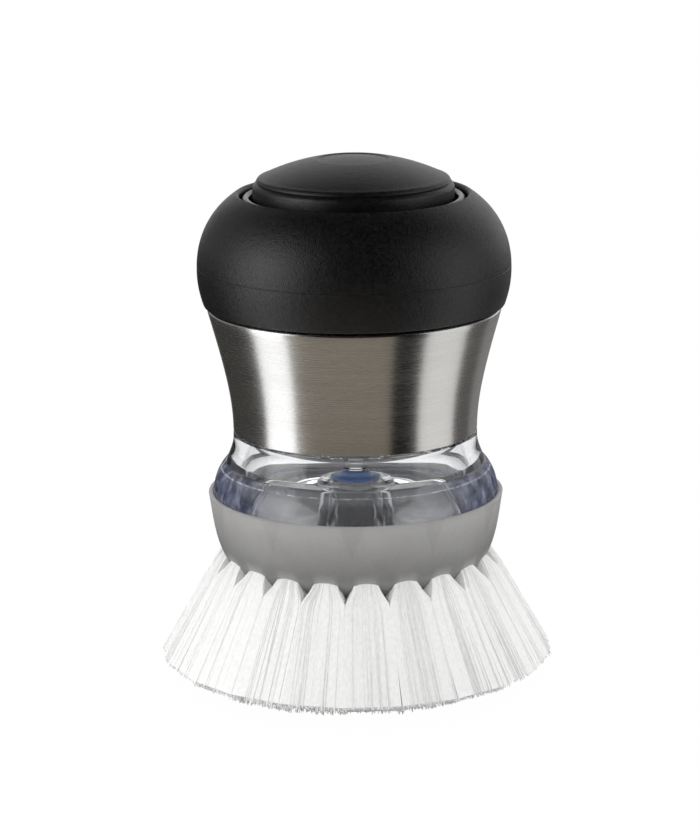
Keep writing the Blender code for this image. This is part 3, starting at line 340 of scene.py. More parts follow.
# The bulge gets painted light: a navy mottle where it turns edge-on is a painted reflection,
# and a pale line round it near its top is a painted highlight.
painted_highlight_height = 0.0425
x, y, z = piece_place(tree)
radius_squared = math(tree, "ADD", math(tree, "MULTIPLY", x, x), math(tree, "MULTIPLY", y, y))
place_radius = math(tree, "SQRT", radius_squared)
on_bulge = ramp(tree, place_radius, 0.0, 1.0, 0.0259, 0.0262)
mottle = scaled_noise(tree, (1, 1, 0.6), 420, 3)
streaks = scaled_noise(tree, (1, 1, 0.5), 900, 2)
facing = tree.nodes.new("ShaderNodeLayerWeight")
facing.inputs["Blend"].default_value = 0.5
edge_on = ramp(tree, facing.outputs["Facing"], 0.0, 0.80, 0.10, 0.42)
painted_reflection_share = math(tree, "MULTIPLY", edge_on, on_bulge)
painted_reflection_share = math(tree, "MULTIPLY", painted_reflection_share, ramp(tree, mottle, 0.65, 1.0))
off_painted_highlight = math(tree, "ABSOLUTE", math(tree, "SUBTRACT", z, painted_highlight_height))
painted_highlight_share = math(tree, "MULTIPLY", ramp(tree, off_painted_highlight, 0.70, 0.0, 0.00002, 0.00022), on_bulge)
painted_highlight_share = math(tree, "MULTIPLY", painted_highlight_share, ramp(tree, streaks, 0.1, 1.0, 0.35, 0.65))
# The painted reflection is a navy mottle, and the painted highlight is a pale line.
painted_reflection_color = ramp(tree, mottle, (0.030, 0.037, 0.078), (0.230, 0.245, 0.320), 0.38, 0.70)
painted_light_veil = tree.nodes.new("ShaderNodeBsdfDiffuse")
tree.links.new(mix_colors(tree, painted_highlight_share, painted_reflection_color, (0.80, 0.79, 0.80)), painted_light_veil.inputs["Color"])
with_painted_light = mix_shaders(tree, math(tree, "MAXIMUM", painted_reflection_share, painted_highlight_share), shader, painted_light_veil)
# Light goes straight through to what is inside.
through = tree.nodes.new("ShaderNodeBsdfTransparent")
through.inputs["Color"].default_value = (0.95, 0.955, 0.965, 1)
rays = tree.nodes.new("ShaderNodeLightPath").outputs
light_ray = math(tree, "MAXIMUM", rays["Is Shadow Ray"], rays["Is Diffuse Ray"])
tree.links.new(mix_shaders(tree, light_ray, with_painted_light, through).outputs[0], output.inputs["Surface"])

neck_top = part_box("reservoir_body")[1][2]
base_low, base_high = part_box("reservoir_base")
neck_radius = 0.0222
neck_bore = 0.0202
barrel_radius = 0.0233
barrel_bore = 0.0213
barrel_ledge = 0.0686
waist_radius = 0.02427
waist_height = 0.0499
crease = (0.0257, 0.0438)
bulge_centre = (0.01945, 0.0375)
bulge_round = 0.00892
skirt_radius = 0.02482
skirt_bore = 0.02282
skirt_foot = 0.0272
floor_under = 0.0312
floor_top = 0.0336
boss_radius = 0.0080
boss_foot = base_low[2]
valve_pocket = 0.0059
valve_seat = 0.0304
cylinder_bore = 0.00505
cylinder_radius = 0.0070
cylinder_flange = 0.0080
cylinder_top = base_high[2] - 0.0021

vessel_outline = [(neck_bore, neck_top - 0.0003), (neck_bore + 0.0003, neck_top)]
vessel_outline += [(neck_radius - 0.0003, neck_top), (neck_radius, neck_top - 0.0003)]
vessel_outline += [(neck_radius, barrel_ledge), (barrel_radius, barrel_ledge)]
vessel_outline += [(barrel_radius, waist_height + 0.0009)]
vessel_outline += round_corner((waist_radius - 0.0005, waist_height - 0.0004), 0.0005, 90, 0, 4)
vessel_outline += curve((waist_radius, 0.0490), (waist_radius, 0.0470), (0.0250, 0.0456), crease, 12)
vessel_outline += round_corner(bulge_centre, bulge_round, 43.5, -8, 24)
vessel_outline += round_corner((0.0260, 0.0372), 0.0022, -20, -80, 8)
vessel_outline += [(skirt_radius, 0.0349), (skirt_radius, skirt_foot + 0.0004)]
vessel_outline += [(skirt_radius - 0.0004, skirt_foot), (skirt_bore, skirt_foot), (skirt_bore, floor_under)]
vessel_outline += [(boss_radius, floor_under), (boss_radius, boss_foot), (valve_pocket, boss_foot)]
vessel_outline += [(valve_pocket, valve_seat), (cylinder_bore, valve_seat)]
vessel_outline += [(cylinder_bore, cylinder_top - 0.0008)]
vessel_outline += round_corner((cylinder_bore + 0.0004, cylinder_top - 0.0008), 0.0004, 180, 90, 4)
vessel_outline += round_corner((cylinder_flange - 0.0021, cylinder_top - 0.0026), 0.0021, 88, -45, 12)
vessel_outline += [(cylinder_radius, cylinder_top - 0.0050), (cylinder_radius, floor_top + 0.0008)]
vessel_outline += round_corner((cylinder_radius + 0.0008, floor_top + 0.0008), 0.0008, 180, 270, 4)
vessel_outline += round_corner((0.0202, 0.0361), 0.0025, -90, 0, 10)
vessel_outline += [(0.0228, 0.0400)]
vessel_outline += curve((0.0226, 0.0434), (0.0219, 0.0452), (barrel_bore, 0.0471), (barrel_bore, 0.0500), 12)
vessel_outline += [(barrel_bore, barrel_ledge - 0.0010), (neck_bore, barrel_ledge + 0.0010)]
vessel = place("vessel", spun("vessel", vessel_outline, steps=160, closed=True), clear_plastic)
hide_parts("reservoir_body", "reservoir_base")
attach(vessel, "vessel")


# Three helical lugs on the vessel's skirt carry the brush head, which goes on with part of a turn.
# They are moulded with the skirt, of the same clear plastic.
def helix_block(form, profile, start, angle, steps, rise):
    """A closed block whose profile of (radius, height) points turns round Z while it rises."""
    begin = Matrix.Rotation(start, 3, "Z")
    corners = [form.verts.new(begin @ Vector((radius, 0, height))) for radius, height in profile]
    face = form.faces.new(corners)
    bmesh.ops.spin(
        form, geom=[face], cent=(0, 0, 0), axis=(0, 0, 1), dvec=(0, 0, rise / steps), angle=angle,
        steps=steps, use_merge=False, use_duplicate=False,
    )


lug_form = bmesh.new()
lug_arc = radians(40)
lug_rise = 0.0020
lug_low = 0.0302
lug_high = lug_low + 0.0016
lug_root = 0.0245
lug_reach = 0.0262
lug_profile = [(lug_root, lug_low), (lug_reach, lug_low), (lug_reach, lug_high), (lug_root, lug_high)]
for i in range(3):
    helix_block(lug_form, lug_profile, tau * i / 3, lug_arc, 12, -lug_rise)
bmesh.ops.recalc_face_normals(lug_form, faces=lug_form.faces)
lugs = place("vessel_lugs", mesh_of("vessel_lugs", lug_form), clear_plastic)
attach(lugs, "vessel")


# The slit valve in the boss is a grey silicone cup with a domed skirt, clamped by a white ring.
# Both keep the frame's shapes and get moulded finishes.
def finish(node, material):
    for slot in nodes[node].material_slots:
        slot.material = material


def add_group(name, inputs, outputs):
    """A shader node group with named number inputs, and its input and output nodes."""
    group = bpy.data.node_groups.new(name, "ShaderNodeTree")
    for label, value in inputs.items():
        socket = group.interface.new_socket(label, in_out="INPUT", socket_type="NodeSocketFloat")
        socket.default_value = value
    for label, kind in outputs.items():
        group.interface.new_socket(label, in_out="OUTPUT", socket_type=kind)
    return group, group.nodes.new("NodeGroupInput"), group.nodes.new("NodeGroupOutput")


# Grain gives a fine mottle as a value around 0.5, from a coarse and a fine noise.
grain_group, grain_in, grain_out = add_group(
    "grain", {"Coarse": 400, "Fine": 2500, "Share": 0.5}, {"Value": "NodeSocketFloat"}
)
grain_coarse = scaled_noise(grain_group, (1, 1, 1), grain_in.outputs["Coarse"], 3)
grain_fine = scaled_noise(grain_group, (1, 1, 1), grain_in.outputs["Fine"], 2)
grain_mix = grain_group.nodes.new("ShaderNodeMix")
grain_group.links.new(grain_in.outputs["Share"], grain_mix.inputs["Factor"])
grain_group.links.new(grain_coarse, grain_mix.inputs["A"])
grain_group.links.new(grain_fine, grain_mix.inputs["B"])
grain_group.links.new(grain_mix.outputs["Result"], grain_out.inputs["Value"])


def use_group(tree, group, **values):
    node = tree.nodes.new("ShaderNodeGroup")
    node.node_tree = group
    for label, value in values.items():
        node.inputs[label].default_value = value
    return node.outputs[0]


def moulded(name, dark, light, rough_low, rough_high, coarse=300, fine=2500, relief=0.00003):
    """A moulded finish whose colour and gloss change a little with the grain."""
    material, tree, shader, _ = new_finish(name)
    grain = use_group(tree, grain_group, Coarse=coarse, Fine=fine, Share=0.5)
    tree.links.new(ramp(tree, grain, dark, light), shader.inputs["Base Color"])
    tree.links.new(ramp(tree, grain, rough_low, rough_high), shader.inputs["Roughness"])
    bump(tree, shader, grain, relief)
    return material


valve_silicone = moulded("valve_silicone", (0.30, 0.29, 0.28), (0.38, 0.37, 0.36), 0.30, 0.42)
white_plastic = moulded("white_plastic", (0.74, 0.74, 0.73), (0.82, 0.82, 0.81), 0.25, 0.35)
finish("outlet_valve", valve_silicone)
finish("valve_retainer", white_plastic)

# The piston is a blue silicone cup on the rod's spigot, held by a push-on steel washer.
# Its blue top shows as a disc through the clear neck, above a grey-brown skirt.
blue_silicone, tree, shader, _ = new_finish("blue_silicone")
piston_grain = use_group(tree, grain_group, Coarse=300, Fine=2500, Share=0.5)
blue_share = ramp(tree, piece_place(tree)["Z"], 0.0, 1.0, 0.03925, 0.03940)
skirt_color = ramp(tree, piston_grain, (0.095, 0.085, 0.080), (0.125, 0.115, 0.110))
top_color = ramp(tree, piston_grain, (0.026, 0.115, 0.340), (0.036, 0.140, 0.400))
tree.links.new(mix_colors(tree, blue_share, skirt_color, top_color), shader.inputs["Base Color"])
tree.links.new(ramp(tree, piston_grain, 0.32, 0.44), shader.inputs["Roughness"])
bump(tree, shader, piston_grain, 0.00003)

piston_low, piston_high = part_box("piston_cup")
piston_top = piston_high[2] - 0.0004
piston_land = piston_high[2] - 0.0019
piston_foot = piston_low[2]
piston_radius = piston_high[0]
piston_web = 0.0008
piston_outline = [(0.0018, piston_top - 0.0002), (0.0020, piston_top), (0.0023, piston_top)]
piston_outline += round_corner((0.0025, piston_top - 0.0005), 0.0005, 80, 10, 4)
piston_outline += round_corner((0.0038, piston_land + 0.0007), 0.0007, 190, 270, 4)
piston_outline += round_corner((piston_radius - 0.0005, piston_land - 0.0005), 0.0005, 88, 0, 5)
piston_outline += [(piston_radius - 0.0003, piston_land - 0.0012), (piston_radius, piston_foot + 0.0003)]
piston_outline += [(piston_radius - 0.0002, piston_foot), (piston_radius - 0.0009, piston_foot)]
piston_outline += [(piston_radius - 0.0012, piston_land - piston_web), (0.0031, piston_land - piston_web)]
piston_outline += [(0.0031, piston_high[2] - 0.0018), (0.0018, piston_high[2] - 0.0018)]
piston = place("piston", spun("piston", piston_outline, steps=64, closed=True), blue_silicone)
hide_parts("piston_cup")
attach(piston, "button")

spring_wire, tree, shader, _ = new_finish("spring_steel")
shader.inputs["Metallic"].default_value = 1.0
drawn = scaled_noise(tree, (1, 1, 6), 700, 3)
tree.links.new(ramp(tree, drawn, (0.52, 0.52, 0.53), (0.66, 0.66, 0.66)), shader.inputs["Base Color"])
tree.links.new(ramp(tree, drawn, 0.18, 0.30), shader.inputs["Roughness"])
finish("rod_clip", spring_wire)

# The return spring is a coil of drawn steel wire between the pump deck and the button.
# Its foot stands on the deck, and the button pushes its turns together.
spring_low, spring_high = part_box("return_spring")
wire_radius = 0.0004
coil_radius = spring_high[0] - wire_radius
coil_turns = 5
coil_rise = spring_high[2] - spring_low[2] - 2 * wire_radius
coil_form = bmesh.new()
wire_section = round_corner((coil_radius, spring_low[2] + wire_radius), wire_radius, 0, 324, 9)
helix_block(coil_form, wire_section, 0, coil_turns * tau, coil_turns * 48, coil_rise)
bmesh.ops.recalc_face_normals(coil_form, faces=coil_form.faces)
coil = place("coil_spring", mesh_of("coil_spring", coil_form, 60), spring_wire)
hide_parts("return_spring")
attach(coil, "knob")
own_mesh(coil)

# The plunger rod is a clear acetal pin from the button's socket down to the piston.
# It ends in a thinner spigot with a chamfer.
rod_low, rod_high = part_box("plunger_rod")
rod_radius = rod_high[0]
rod_shoulder = piston_top + 0.0003
spigot_radius = 0.0015
rod_top = rod_high[2]
rod_foot = rod_low[2]
rod_outline = [(0, rod_top), (rod_radius - 0.0004, rod_top), (rod_radius, rod_top - 0.0004)]
rod_outline += [(rod_radius, rod_shoulder + 0.0003), (rod_radius - 0.0003, rod_shoulder)]
rod_outline += [(spigot_radius, rod_shoulder), (spigot_radius, rod_foot + 0.0003)]
rod_outline += [(spigot_radius - 0.0003, rod_foot), (0, rod_foot)]
rod = place("rod", spun("rod", rod_outline, steps=48), clear_plastic)
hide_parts("plunger_rod")
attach(rod, "button")

# Clear silicone seals close the rod's guide, the vessel's mouth and the joint at the head.
# A white cap holds the rod's lip seal in the hub.
clear_silicone = moulded("clear_silicone", (0.62, 0.62, 0.62), (0.74, 0.74, 0.74), 0.32, 0.45)
for node in ("rod_seal", "knob_gasket", "head_seal"):
    finish(node, clear_silicone)
finish("seal_cap", white_plastic)

# The sleeve is drawn stainless steel, waisted, with its top edge rolled in over the collar.
# It is brushed round the axis, so its gloss is stretched up and down into upright bands.
brushed_steel, tree, shader, _ = new_finish("brushed_steel")
shader.inputs["Metallic"].default_value = 1.0
shader.inputs["Anisotropic"].default_value = 0.75
shader.inputs["Anisotropic Rotation"].default_value = 0.25
brush_lines = scaled_noise(tree, (55, 55, 7000), 1, 4, 0.62)
brush_patches = scaled_noise(tree, (40, 40, 260), 1, 3)
brush_mix = tree.nodes.new("ShaderNodeMix")
brush_mix.inputs["Factor"].default_value = 0.35
tree.links.new(brush_lines, brush_mix.inputs["A"])
tree.links.new(brush_patches, brush_mix.inputs["B"])
brush_value = brush_mix.outputs["Result"]
tree.links.new(ramp(tree, brush_value, (0.74, 0.73, 0.72), (0.90, 0.90, 0.895)), shader.inputs["Base Color"])
tree.links.new(ramp(tree, brush_value, 0.24, 0.30), shader.inputs["Roughness"])
bump(tree, shader, brush_lines, 0.000005, 0.35)
round_the_axis = tree.nodes.new("ShaderNodeTangent")
round_the_axis.direction_type = "RADIAL"
round_the_axis.axis = "Z"
tree.links.new(round_the_axis.outputs["Tangent"], shader.inputs["Tangent"])

sleeve_low, sleeve_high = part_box("steel_sleeve")
sleeve_wall = 0.0006
sleeve_foot = sleeve_low[2]
sleeve_top = sleeve_high[2]
sleeve_foot_radius = 0.02427
sleeve_top_radius = 0.02921
sleeve_lip_radius = 0.02641
sleeve_rise = sleeve_top - sleeve_foot
sleeve_flare = sleeve_top_radius - sleeve_foot_radius


def sleeve_side(inset, bottom, top, count=40):
    """The waisted side between two heights, from the top down, moved inwards by inset."""
    side = curve(
        (sleeve_foot_radius, sleeve_foot),
        (sleeve_foot_radius, sleeve_foot + sleeve_rise * 0.284),
        (sleeve_foot_radius + sleeve_flare * 0.400, sleeve_foot + sleeve_rise * 0.575),
        (sleeve_top_radius, sleeve_top), count,
    )
    return [(radius - inset, height) for radius, height in side[::-1] if bottom <= height <= top]


roll = 0.0005
sleeve_outline = [(sleeve_lip_radius, sleeve_top), (sleeve_top_radius - 0.0011, sleeve_top)]
sleeve_outline += round_corner((sleeve_top_radius - 0.0007, sleeve_top - roll), roll, 85, 15, 6)
sleeve_outline += sleeve_side(0, sleeve_foot + 0.0002, sleeve_top - 0.0005)
sleeve_outline += round_corner((sleeve_foot_radius - 0.0002, sleeve_foot + 0.0002), 0.0002, 0, -180, 6)[1:]
sleeve_outline += sleeve_side(sleeve_wall, sleeve_foot + 0.0004, sleeve_top - 0.0011)[::-1]
sleeve_outline += [(sleeve_lip_radius, sleeve_top - sleeve_wall)]
sleeve = place("sleeve", spun("sleeve", sleeve_outline, steps=192, closed=True), brushed_steel)
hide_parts("steel_sleeve")
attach(sleeve, "vessel")

# Inside, black glass-filled nylon makes the collar, the knob's shell, the pump deck and the button's core.
# These keep the frame's shapes, with the matte grain of a textured mould.
black_plastic = moulded("black_plastic", (0.010, 0.010, 0.011), (0.020, 0.020, 0.021), 0.34, 0.50)
for node in ("sleeve_collar", "knob_shell", "pump_deck", "button_core"):
    finish(node, black_plastic)


# The knob's grip is a soft black elastomer, moulded over the hard shell in a two-part tool.
# It has a fine dusty grain, and a parting line runs round it just above its widest place.
soft_black, tree, shader, _ = new_finish("soft_black")
soft_grain = use_group(tree, grain_group, Coarse=1300, Fine=4600, Share=0.6)
soft_color = ramp(tree, soft_grain, (0.0007, 0.0007, 0.0010), (0.0085, 0.0086, 0.0112), 0.40, 0.70)
tree.links.new(soft_color, shader.inputs["Base Color"])
tree.links.new(ramp(tree, soft_grain, 0.29, 0.43), shader.inputs["Roughness"])
shader.inputs["Specular IOR Level"].default_value = 0.64
bump(tree, shader, soft_grain, 0.00014)

grip_low, grip_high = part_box("knob_grip")
knob_radius = grip_high[0]
knob_foot = grip_low[2]
rim_crest = grip_high[2]
knob_widest = 0.0825
knob_curve_centre = 0.01027
knob_curve_height = 0.01835
knob_fullness = 2.167
lower_curve = 0.0200
opening_radius = 0.0224
grip_lip_foot = 0.09545
rim_round = 0.0009
foot_round = 0.0004
grip_wall = 0.0020
shell_radius = 0.0282
shell_ledge = 0.0800
hollow_foot = 0.0820
hollow_radius = 0.0289
parting_height = 0.0834
parting_depth = 0.00006


def knob_side(height):
    """The knob's radius at a height."""
    if height > knob_widest:
        rise = min((height - knob_widest) / knob_curve_height, 1)
        share = (1 - rise ** knob_fullness) ** (1 / knob_fullness)
        return knob_curve_centre + (knob_radius - knob_curve_centre) * share
    drop = knob_widest - height
    return knob_radius - lower_curve + sqrt(lower_curve ** 2 - drop ** 2)


side_top = rim_crest - rim_round * 0.35
side_foot = knob_foot + foot_round
heights = [side_top + (parting_height + 0.0002 - side_top) * i / 30 for i in range(31)]
side_points = [(knob_side(height), height) for height in heights]
parting_radius = knob_side(parting_height) - parting_depth
side_points += [(parting_radius, parting_height + 0.00006), (parting_radius, parting_height - 0.00004)]
heights = [parting_height - 0.00012 + (side_foot - parting_height) * i / 20 for i in range(21)]
side_points += [(knob_side(height), height) for height in heights]
grip_outline = [(opening_radius, grip_lip_foot), (opening_radius, rim_crest - rim_round)]
grip_outline += round_corner((opening_radius + rim_round, rim_crest - rim_round), rim_round, 180, 100)[1:]
grip_outline += side_points
grip_outline += round_corner((side_points[-1][0] - foot_round, side_foot), foot_round, 0, -90)[1:]
grip_outline += [(shell_radius, knob_foot), (shell_radius, shell_ledge)]
hollow_heights = [hollow_foot + (grip_lip_foot - hollow_foot) * i / 12 for i in range(13)]
grip_outline += [(min(knob_side(height) - grip_wall, hollow_radius), height) for height in hollow_heights]
grip = place("grip", spun("grip", grip_outline, steps=160, closed=True), soft_black)
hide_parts("knob_grip")
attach(grip, "knob")

# A gloss black ring is pressed into the knob's mouth and keeps the button's flange in.
# Its rounded top lies in the groove between the grip and the button.
gloss_black = moulded("gloss_black", (0.006, 0.006, 0.007), (0.011, 0.011, 0.012), 0.10, 0.17, relief=0.00001)
ring_low, ring_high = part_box("well_ring")
ring_outer = ring_high[0]
ring_bore = 0.0204
ring_round = (ring_outer - ring_bore) / 2
ring_outline = [(ring_bore, ring_low[2])]
ring_outline += round_corner((ring_bore + ring_round, ring_high[2] - ring_round), ring_round, 180, 0, 12)
ring_outline += [(ring_outer, ring_low[2])]
ring = place("mouth_ring", spun("mouth_ring", ring_outline, steps=128, closed=True), gloss_black)
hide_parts("well_ring")
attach(ring, "knob")

# The push-button's skin is the same elastomer, a shallow dome moulded over the core.
# It has a shallow round recess on top, and a bead under the dome's turned edge.
skin_low, skin_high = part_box("button_skin")
dome_radius = 0.0420
dome_top = 0.10478
recess_radius = 0.0069
recess_depth = 0.00035
dome_edge = 0.0181
edge_round = 0.0011
bead_radius = skin_high[0]
bead_round = 0.0011
bead_height = 0.0985
bead_neck = (0.01896, 0.09962)
skin_foot = skin_low[2]
skin_wall = 0.0015


def dome(radius, drop=0.0):
    """The dome's height at a radius, lowered by drop."""
    return dome_top - drop - dome_radius + sqrt(dome_radius ** 2 - radius ** 2)


recess_points = [(recess_radius - 0.0004) * i / 8 for i in range(9)]
button_outline = [(radius, dome(radius, recess_depth)) for radius in recess_points]
button_outline += [(recess_radius - 0.0001, dome(recess_radius) - recess_depth * 0.6)]
button_outline += [(recess_radius + 0.0002, dome(recess_radius + 0.0002) - 0.00005)]
dome_points = [recess_radius + 0.0006 + (dome_edge - recess_radius - 0.0006) * i / 20 for i in range(21)]
button_outline += [(radius, dome(radius)) for radius in dome_points]
button_outline += round_corner((0.0180, dome(dome_edge) - edge_round), edge_round, 62, 12, 6)
button_outline += [bead_neck]
button_outline += round_corner((bead_radius - bead_round, bead_height), bead_round, 70, 0, 8)
button_outline += [(bead_radius, skin_foot + 0.0003), (bead_radius - 0.0003, skin_foot)]
button_outline += [(bead_radius - skin_wall, skin_foot)]
under_points = [(bead_radius - skin_wall) * (1 - i / 8) for i in range(9)]
button_outline += [(radius, dome(radius, skin_wall + 0.0001)) for radius in under_points]
button = place("button", spun("button", button_outline, steps=128), soft_black)
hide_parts("button_skin")
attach(button, "button")

# The brush head is a grey translucent bowl with a thin rim that hugs the vessel's bulge.
# Twenty-one scallops at its foot let the outer tufts out. The ribs inside show through the wall
# as faint darker wedges, which only painted shade in the wall's colour draws here: the bowl has no ribs in
# its form.
grey_plastic, tree, shader, _ = new_finish("grey_plastic")
tuft_count = 21
tuft_step = tau / tuft_count
tuft_phase = radians(-90 + 4.1)
rib_step = tau / 11
rib_phase = radians(-90 - 1.6)
rib_foot = 0.0305
rib_spread = 12.0


def off_nearest(tree, turn, phase, step):
    """How far a turn is from the nearest of evenly spaced places round the axis."""
    shifted = math(tree, "ADD", turn, 20 * step + step / 2 - phase)
    return math(tree, "ABSOLUTE", math(tree, "SUBTRACT", math(tree, "MODULO", shifted, step), step / 2))


# The wall gets painted shade over the ribs and low down, and a painted glow that makes it lighter
# at each tuft's root and on the teeth between the scallops; the grain varies its tone as well.
head_grain = use_group(tree, grain_group, Coarse=220, Fine=1800, Share=0.35)
x, y, z = piece_place(tree)
head_turn = math(tree, "ARCTAN2", y, x)
rib_reach = math(tree, "MULTIPLY", math(tree, "SUBTRACT", z, rib_foot), rib_spread)
rib_inside = math(tree, "SUBTRACT", rib_reach, off_nearest(tree, head_turn, rib_phase, rib_step))
rib_shade = ramp(tree, rib_inside, 0.0, 0.09, -0.006, 0.012)
low_shade = ramp(tree, z, 0.60, 0.0, 0.0270, 0.0360)
tuft_near = ramp(tree, off_nearest(tree, head_turn, tuft_phase, tuft_step), 1.0, 0.0, 0.050, 0.100)
tuft_glow = math(tree, "MULTIPLY", tuft_near, ramp(tree, z, 0.75, 0.0, 0.0244, 0.0276))
teeth_glow = ramp(tree, z, 0.55, 0.0, 0.0215, 0.0262)
grain_tone = math(tree, "MULTIPLY", math(tree, "SUBTRACT", head_grain, 0.5), 0.35)
painted_light_and_grain = math(tree, "ADD", math(tree, "ADD", rib_shade, low_shade), grain_tone)
painted_light_and_grain = math(tree, "SUBTRACT", painted_light_and_grain, math(tree, "ADD", tuft_glow, teeth_glow))
wall_color = ramp(tree, painted_light_and_grain, (0.315, 0.311, 0.308), (0.080, 0.079, 0.078), 0.0, 1.0)
tree.links.new(wall_color, shader.inputs["Base Color"])
tree.links.new(ramp(tree, head_grain, 0.44, 0.56), shader.inputs["Roughness"])
shader.inputs["Specular IOR Level"].default_value = 0.35
bump(tree, shader, head_grain, 0.00004)

rim_top = 0.0376
rim_radius = 0.0294
rim_wall = 0.0009
bowl_wall = 0.0014
bowl_foot = 0.0209
foot_radius = 0.0236
bowl_floor = 0.0261
outlet_radius = 0.0034
notch_half = 0.0023
notch_depth = 0.0021
notch_top = 0.0254
notch_rise = 0.0022
notch_inner = 0.0215
notch_fade = 0.0025
teeth_inner = 0.0220
rim_point = (rim_radius, rim_top - 0.0003)
bowl_side = curve(rim_point, (0.02846, 0.03187), (0.02833, 0.02532), (foot_radius, 0.02115), 36)
bowl_outline = [(rim_radius - rim_wall, rim_top - 0.0003), (rim_radius - rim_wall + 0.0002, rim_top)]
bowl_outline += [(rim_radius - 0.0003, rim_top)] + bowl_side
bowl_outline += [(0.0225, bowl_foot), (outlet_radius + 0.0003, bowl_foot)]
bowl_outline += [(outlet_radius, bowl_foot + 0.0003)]
bowl_outline += [(outlet_radius, bowl_floor), (0.0244, bowl_floor)]
bowl_outline += [(radius - bowl_wall, height) for radius, height in bowl_side[16:1:-1]]
steps_per_tuft = 18
bowl_mesh = spun("bowl", bowl_outline, steps=tuft_count * steps_per_tuft, closed=True)


def notch_share(turn, radius, height):
    """How deep a scallop is at a place on the bowl's foot, from 0 to 1."""
    off = ((turn - tuft_phase + tuft_step / 2) % tuft_step - tuft_step / 2) * radius
    across = max(1 - (off / notch_half) ** 2, 0)
    up = min(max((notch_top - height) / notch_rise, 0), 1)
    return sqrt(across) * up * up * (3 - 2 * up)


for vertex in bowl_mesh.vertices:
    place_at = vertex.co
    radius = place_at.to_2d().length
    if radius > teeth_inner and place_at.z < notch_top:
        turn = atan2(place_at.y, place_at.x)
        share = notch_share(turn, radius, place_at.z) * min((radius - notch_inner) / notch_fade, 1)
        inward = (radius - notch_depth * share) / radius
        vertex.co = (place_at.x * inward, place_at.y * inward, place_at.z)
bowl_mesh.shade_smooth()
bowl_mesh.set_sharp_from_angle(angle=radians(40))
bowl = place("bowl", bowl_mesh, grey_plastic)
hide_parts("brush_head")
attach(bowl, "head")

# The tufts are bundles of white nylon filament, doubled and stapled into holes in three rings.
# The outer ring comes out through the scallops and flares; the face is trimmed level.
white_bristle, tree, shader, _ = new_finish("white_bristle")
filament_tone = scaled_noise(tree, (1, 1, 0.06), 2200, 2)
filament_color = ramp(tree, filament_tone, (0.79, 0.79, 0.785), (0.87, 0.87, 0.865))
tree.links.new(filament_color, shader.inputs["Base Color"])
tree.links.new(ramp(tree, filament_tone, 0.40, 0.55), shader.inputs["Roughness"])
bump(tree, shader, filament_tone, 0.00005, 0.5)

filament_radius = 0.00010
squared_share = 0.15
opened_share = 0.21
filament_shares = (0, 0.07, 0.14, opened_share, 0.6, 1)
# Each ring: tufts, filaments on a tuft, root radius and height, tip radius and height,
# half depths at root and tip, and the half width at the root with its quick and its slow growth
tuft_rings = (
    (tuft_count, 190, 0.0244, 0.0256, 0.0364, 0.0030, (0.0024, 0.0025), (0.0020, 0.0019, 0.0017)),
    (15, 100, 0.0163, 0.0228, 0.0262, 0.0004, (0.0018, 0.0044), (0.0020, 0.0010, 0.0024)),
    (9, 90, 0.0100, 0.0228, 0.0128, 0.0004, (0.0016, 0.0036), (0.0018, 0.0008, 0.0018)),
)
chance = random.Random(7)


def tuft_place(ring, flare, across, along, share):
    """A place in a tuft: across and along run from -1 to 1 in its section, share from root to tip."""
    _, _, root_radius, root_height, tip_radius, tip_height, depths, widths = ring
    square = min(share / squared_share, 1)
    opened = min(share / opened_share, 1)
    opened = opened ** 2 * (3 - 2 * opened)
    across *= square + (1 - square) * sqrt(1 - along ** 2 / 2)
    deep = (depths[0] + (depths[1] - depths[0]) * share) * across
    radius = root_radius + (tip_radius - root_radius) * share
    wide = (widths[0] + widths[1] * opened + widths[2] * flare * share) * along * (1 + deep / radius)
    height = root_height + (tip_height - root_height) * share
    if tip_height > 0.001:
        height += deep * share / 2  # The outer tufts' ends slope up to their outer side.
    return Vector((radius + deep, wide, height))


def add_filament(splines, points):
    strand = splines.new("POLY")
    strand.points.add(len(points) - 1)
    for point, where in zip(strand.points, points):
        point.co = (*where, 1)


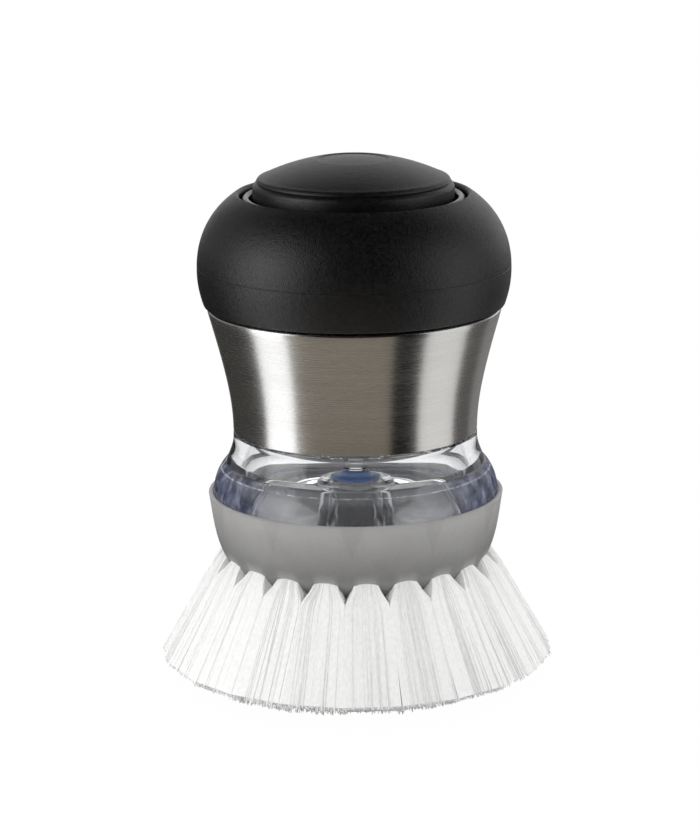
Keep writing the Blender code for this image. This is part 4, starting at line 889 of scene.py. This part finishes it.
def add_core(form, ring, flare, spin):
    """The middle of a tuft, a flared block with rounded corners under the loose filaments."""
    block = bmesh.ops.create_cone(form, cap_ends=True, segments=24, radius1=1, radius2=1, depth=1)["verts"]
    sides = {e for v in block for e in v.link_edges if abs(e.verts[0].co.z - e.verts[1].co.z) > 0.5}
    bmesh.ops.subdivide_edges(form, edges=list(sides), cuts=11, use_grid_fill=True)
    for vertex in form.verts:
        if vertex.tag:
            continue
        vertex.tag = True
        size = max(abs(vertex.co.x), abs(vertex.co.y))
        stretch = vertex.co.to_2d().length / size
        across, along = 0.97 * vertex.co.x * stretch, 0.99 * vertex.co.y * stretch
        vertex.co = spin @ tuft_place(ring, flare, across, along, 0.982 * (0.5 - vertex.co.z))


slice_count = 3
slices = []
cores = []
for i in range(slice_count):
    bundle = bpy.data.curves.new(f"bristles_{i + 1}", "CURVE")
    bundle.dimensions = "3D"
    bundle.bevel_depth = filament_radius
    bundle.bevel_resolution = 0
    bundle.use_fill_caps = True
    slices.append(bundle)
    cores.append(bmesh.new())

for ring in tuft_rings:
    tufts, count = ring[:2]
    for j in range(tufts):
        third = int((j / tufts + 1 / 6) * slice_count) % slice_count
        spin = Matrix.Rotation(tuft_phase + tau * j / tufts, 3, "Z")
        flare = chance.uniform(0.84, 1.08)
        add_core(cores[third], ring, flare, spin)
        tuft_reach = chance.uniform(0.99, 1.012)
        for k in range(count):
            turn = tau * chance.random()
            size = max(abs(cos(turn)), abs(sin(turn)))
            depth = chance.uniform(0.90, 1.0) if k % 3 else chance.uniform(0.2, 0.95)
            across, along = depth * cos(turn) / size ** 0.95, depth * sin(turn) / size ** 0.95
            reach = tuft_reach + 0.006 * sin(5 * along) + chance.gauss(0, 0.006)
            stray = Vector((chance.gauss(0, 0.00012), chance.gauss(0, 0.00018), 0))
            points = [tuft_place(ring, flare, across, along, share * reach) for share in filament_shares]
            points[-2] += stray * 0.5
            points[-1] += stray
            points[-1].z = max(points[-1].z, 0.0001)
            add_filament(slices[third].splines, [spin @ point for point in points])

for i, bundle in enumerate(slices):
    bundle.materials.append(white_bristle)
    tufts_piece = bpy.data.objects.new(f"bristles_{i + 1}", bundle)
    scene.collection.objects.link(tufts_piece)
    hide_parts(f"bristle_segment_{i + 1}")
    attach(tufts_piece, "head")

for i, form in enumerate(cores):
    bmesh.ops.recalc_face_normals(form, faces=form.faces)
    core = place(f"tuft_cores_{i + 1}", mesh_of(f"tuft_cores_{i + 1}", form, 50), white_bristle)
    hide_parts(f"bristle_segment_{i + 1}")
    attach(core, "head")
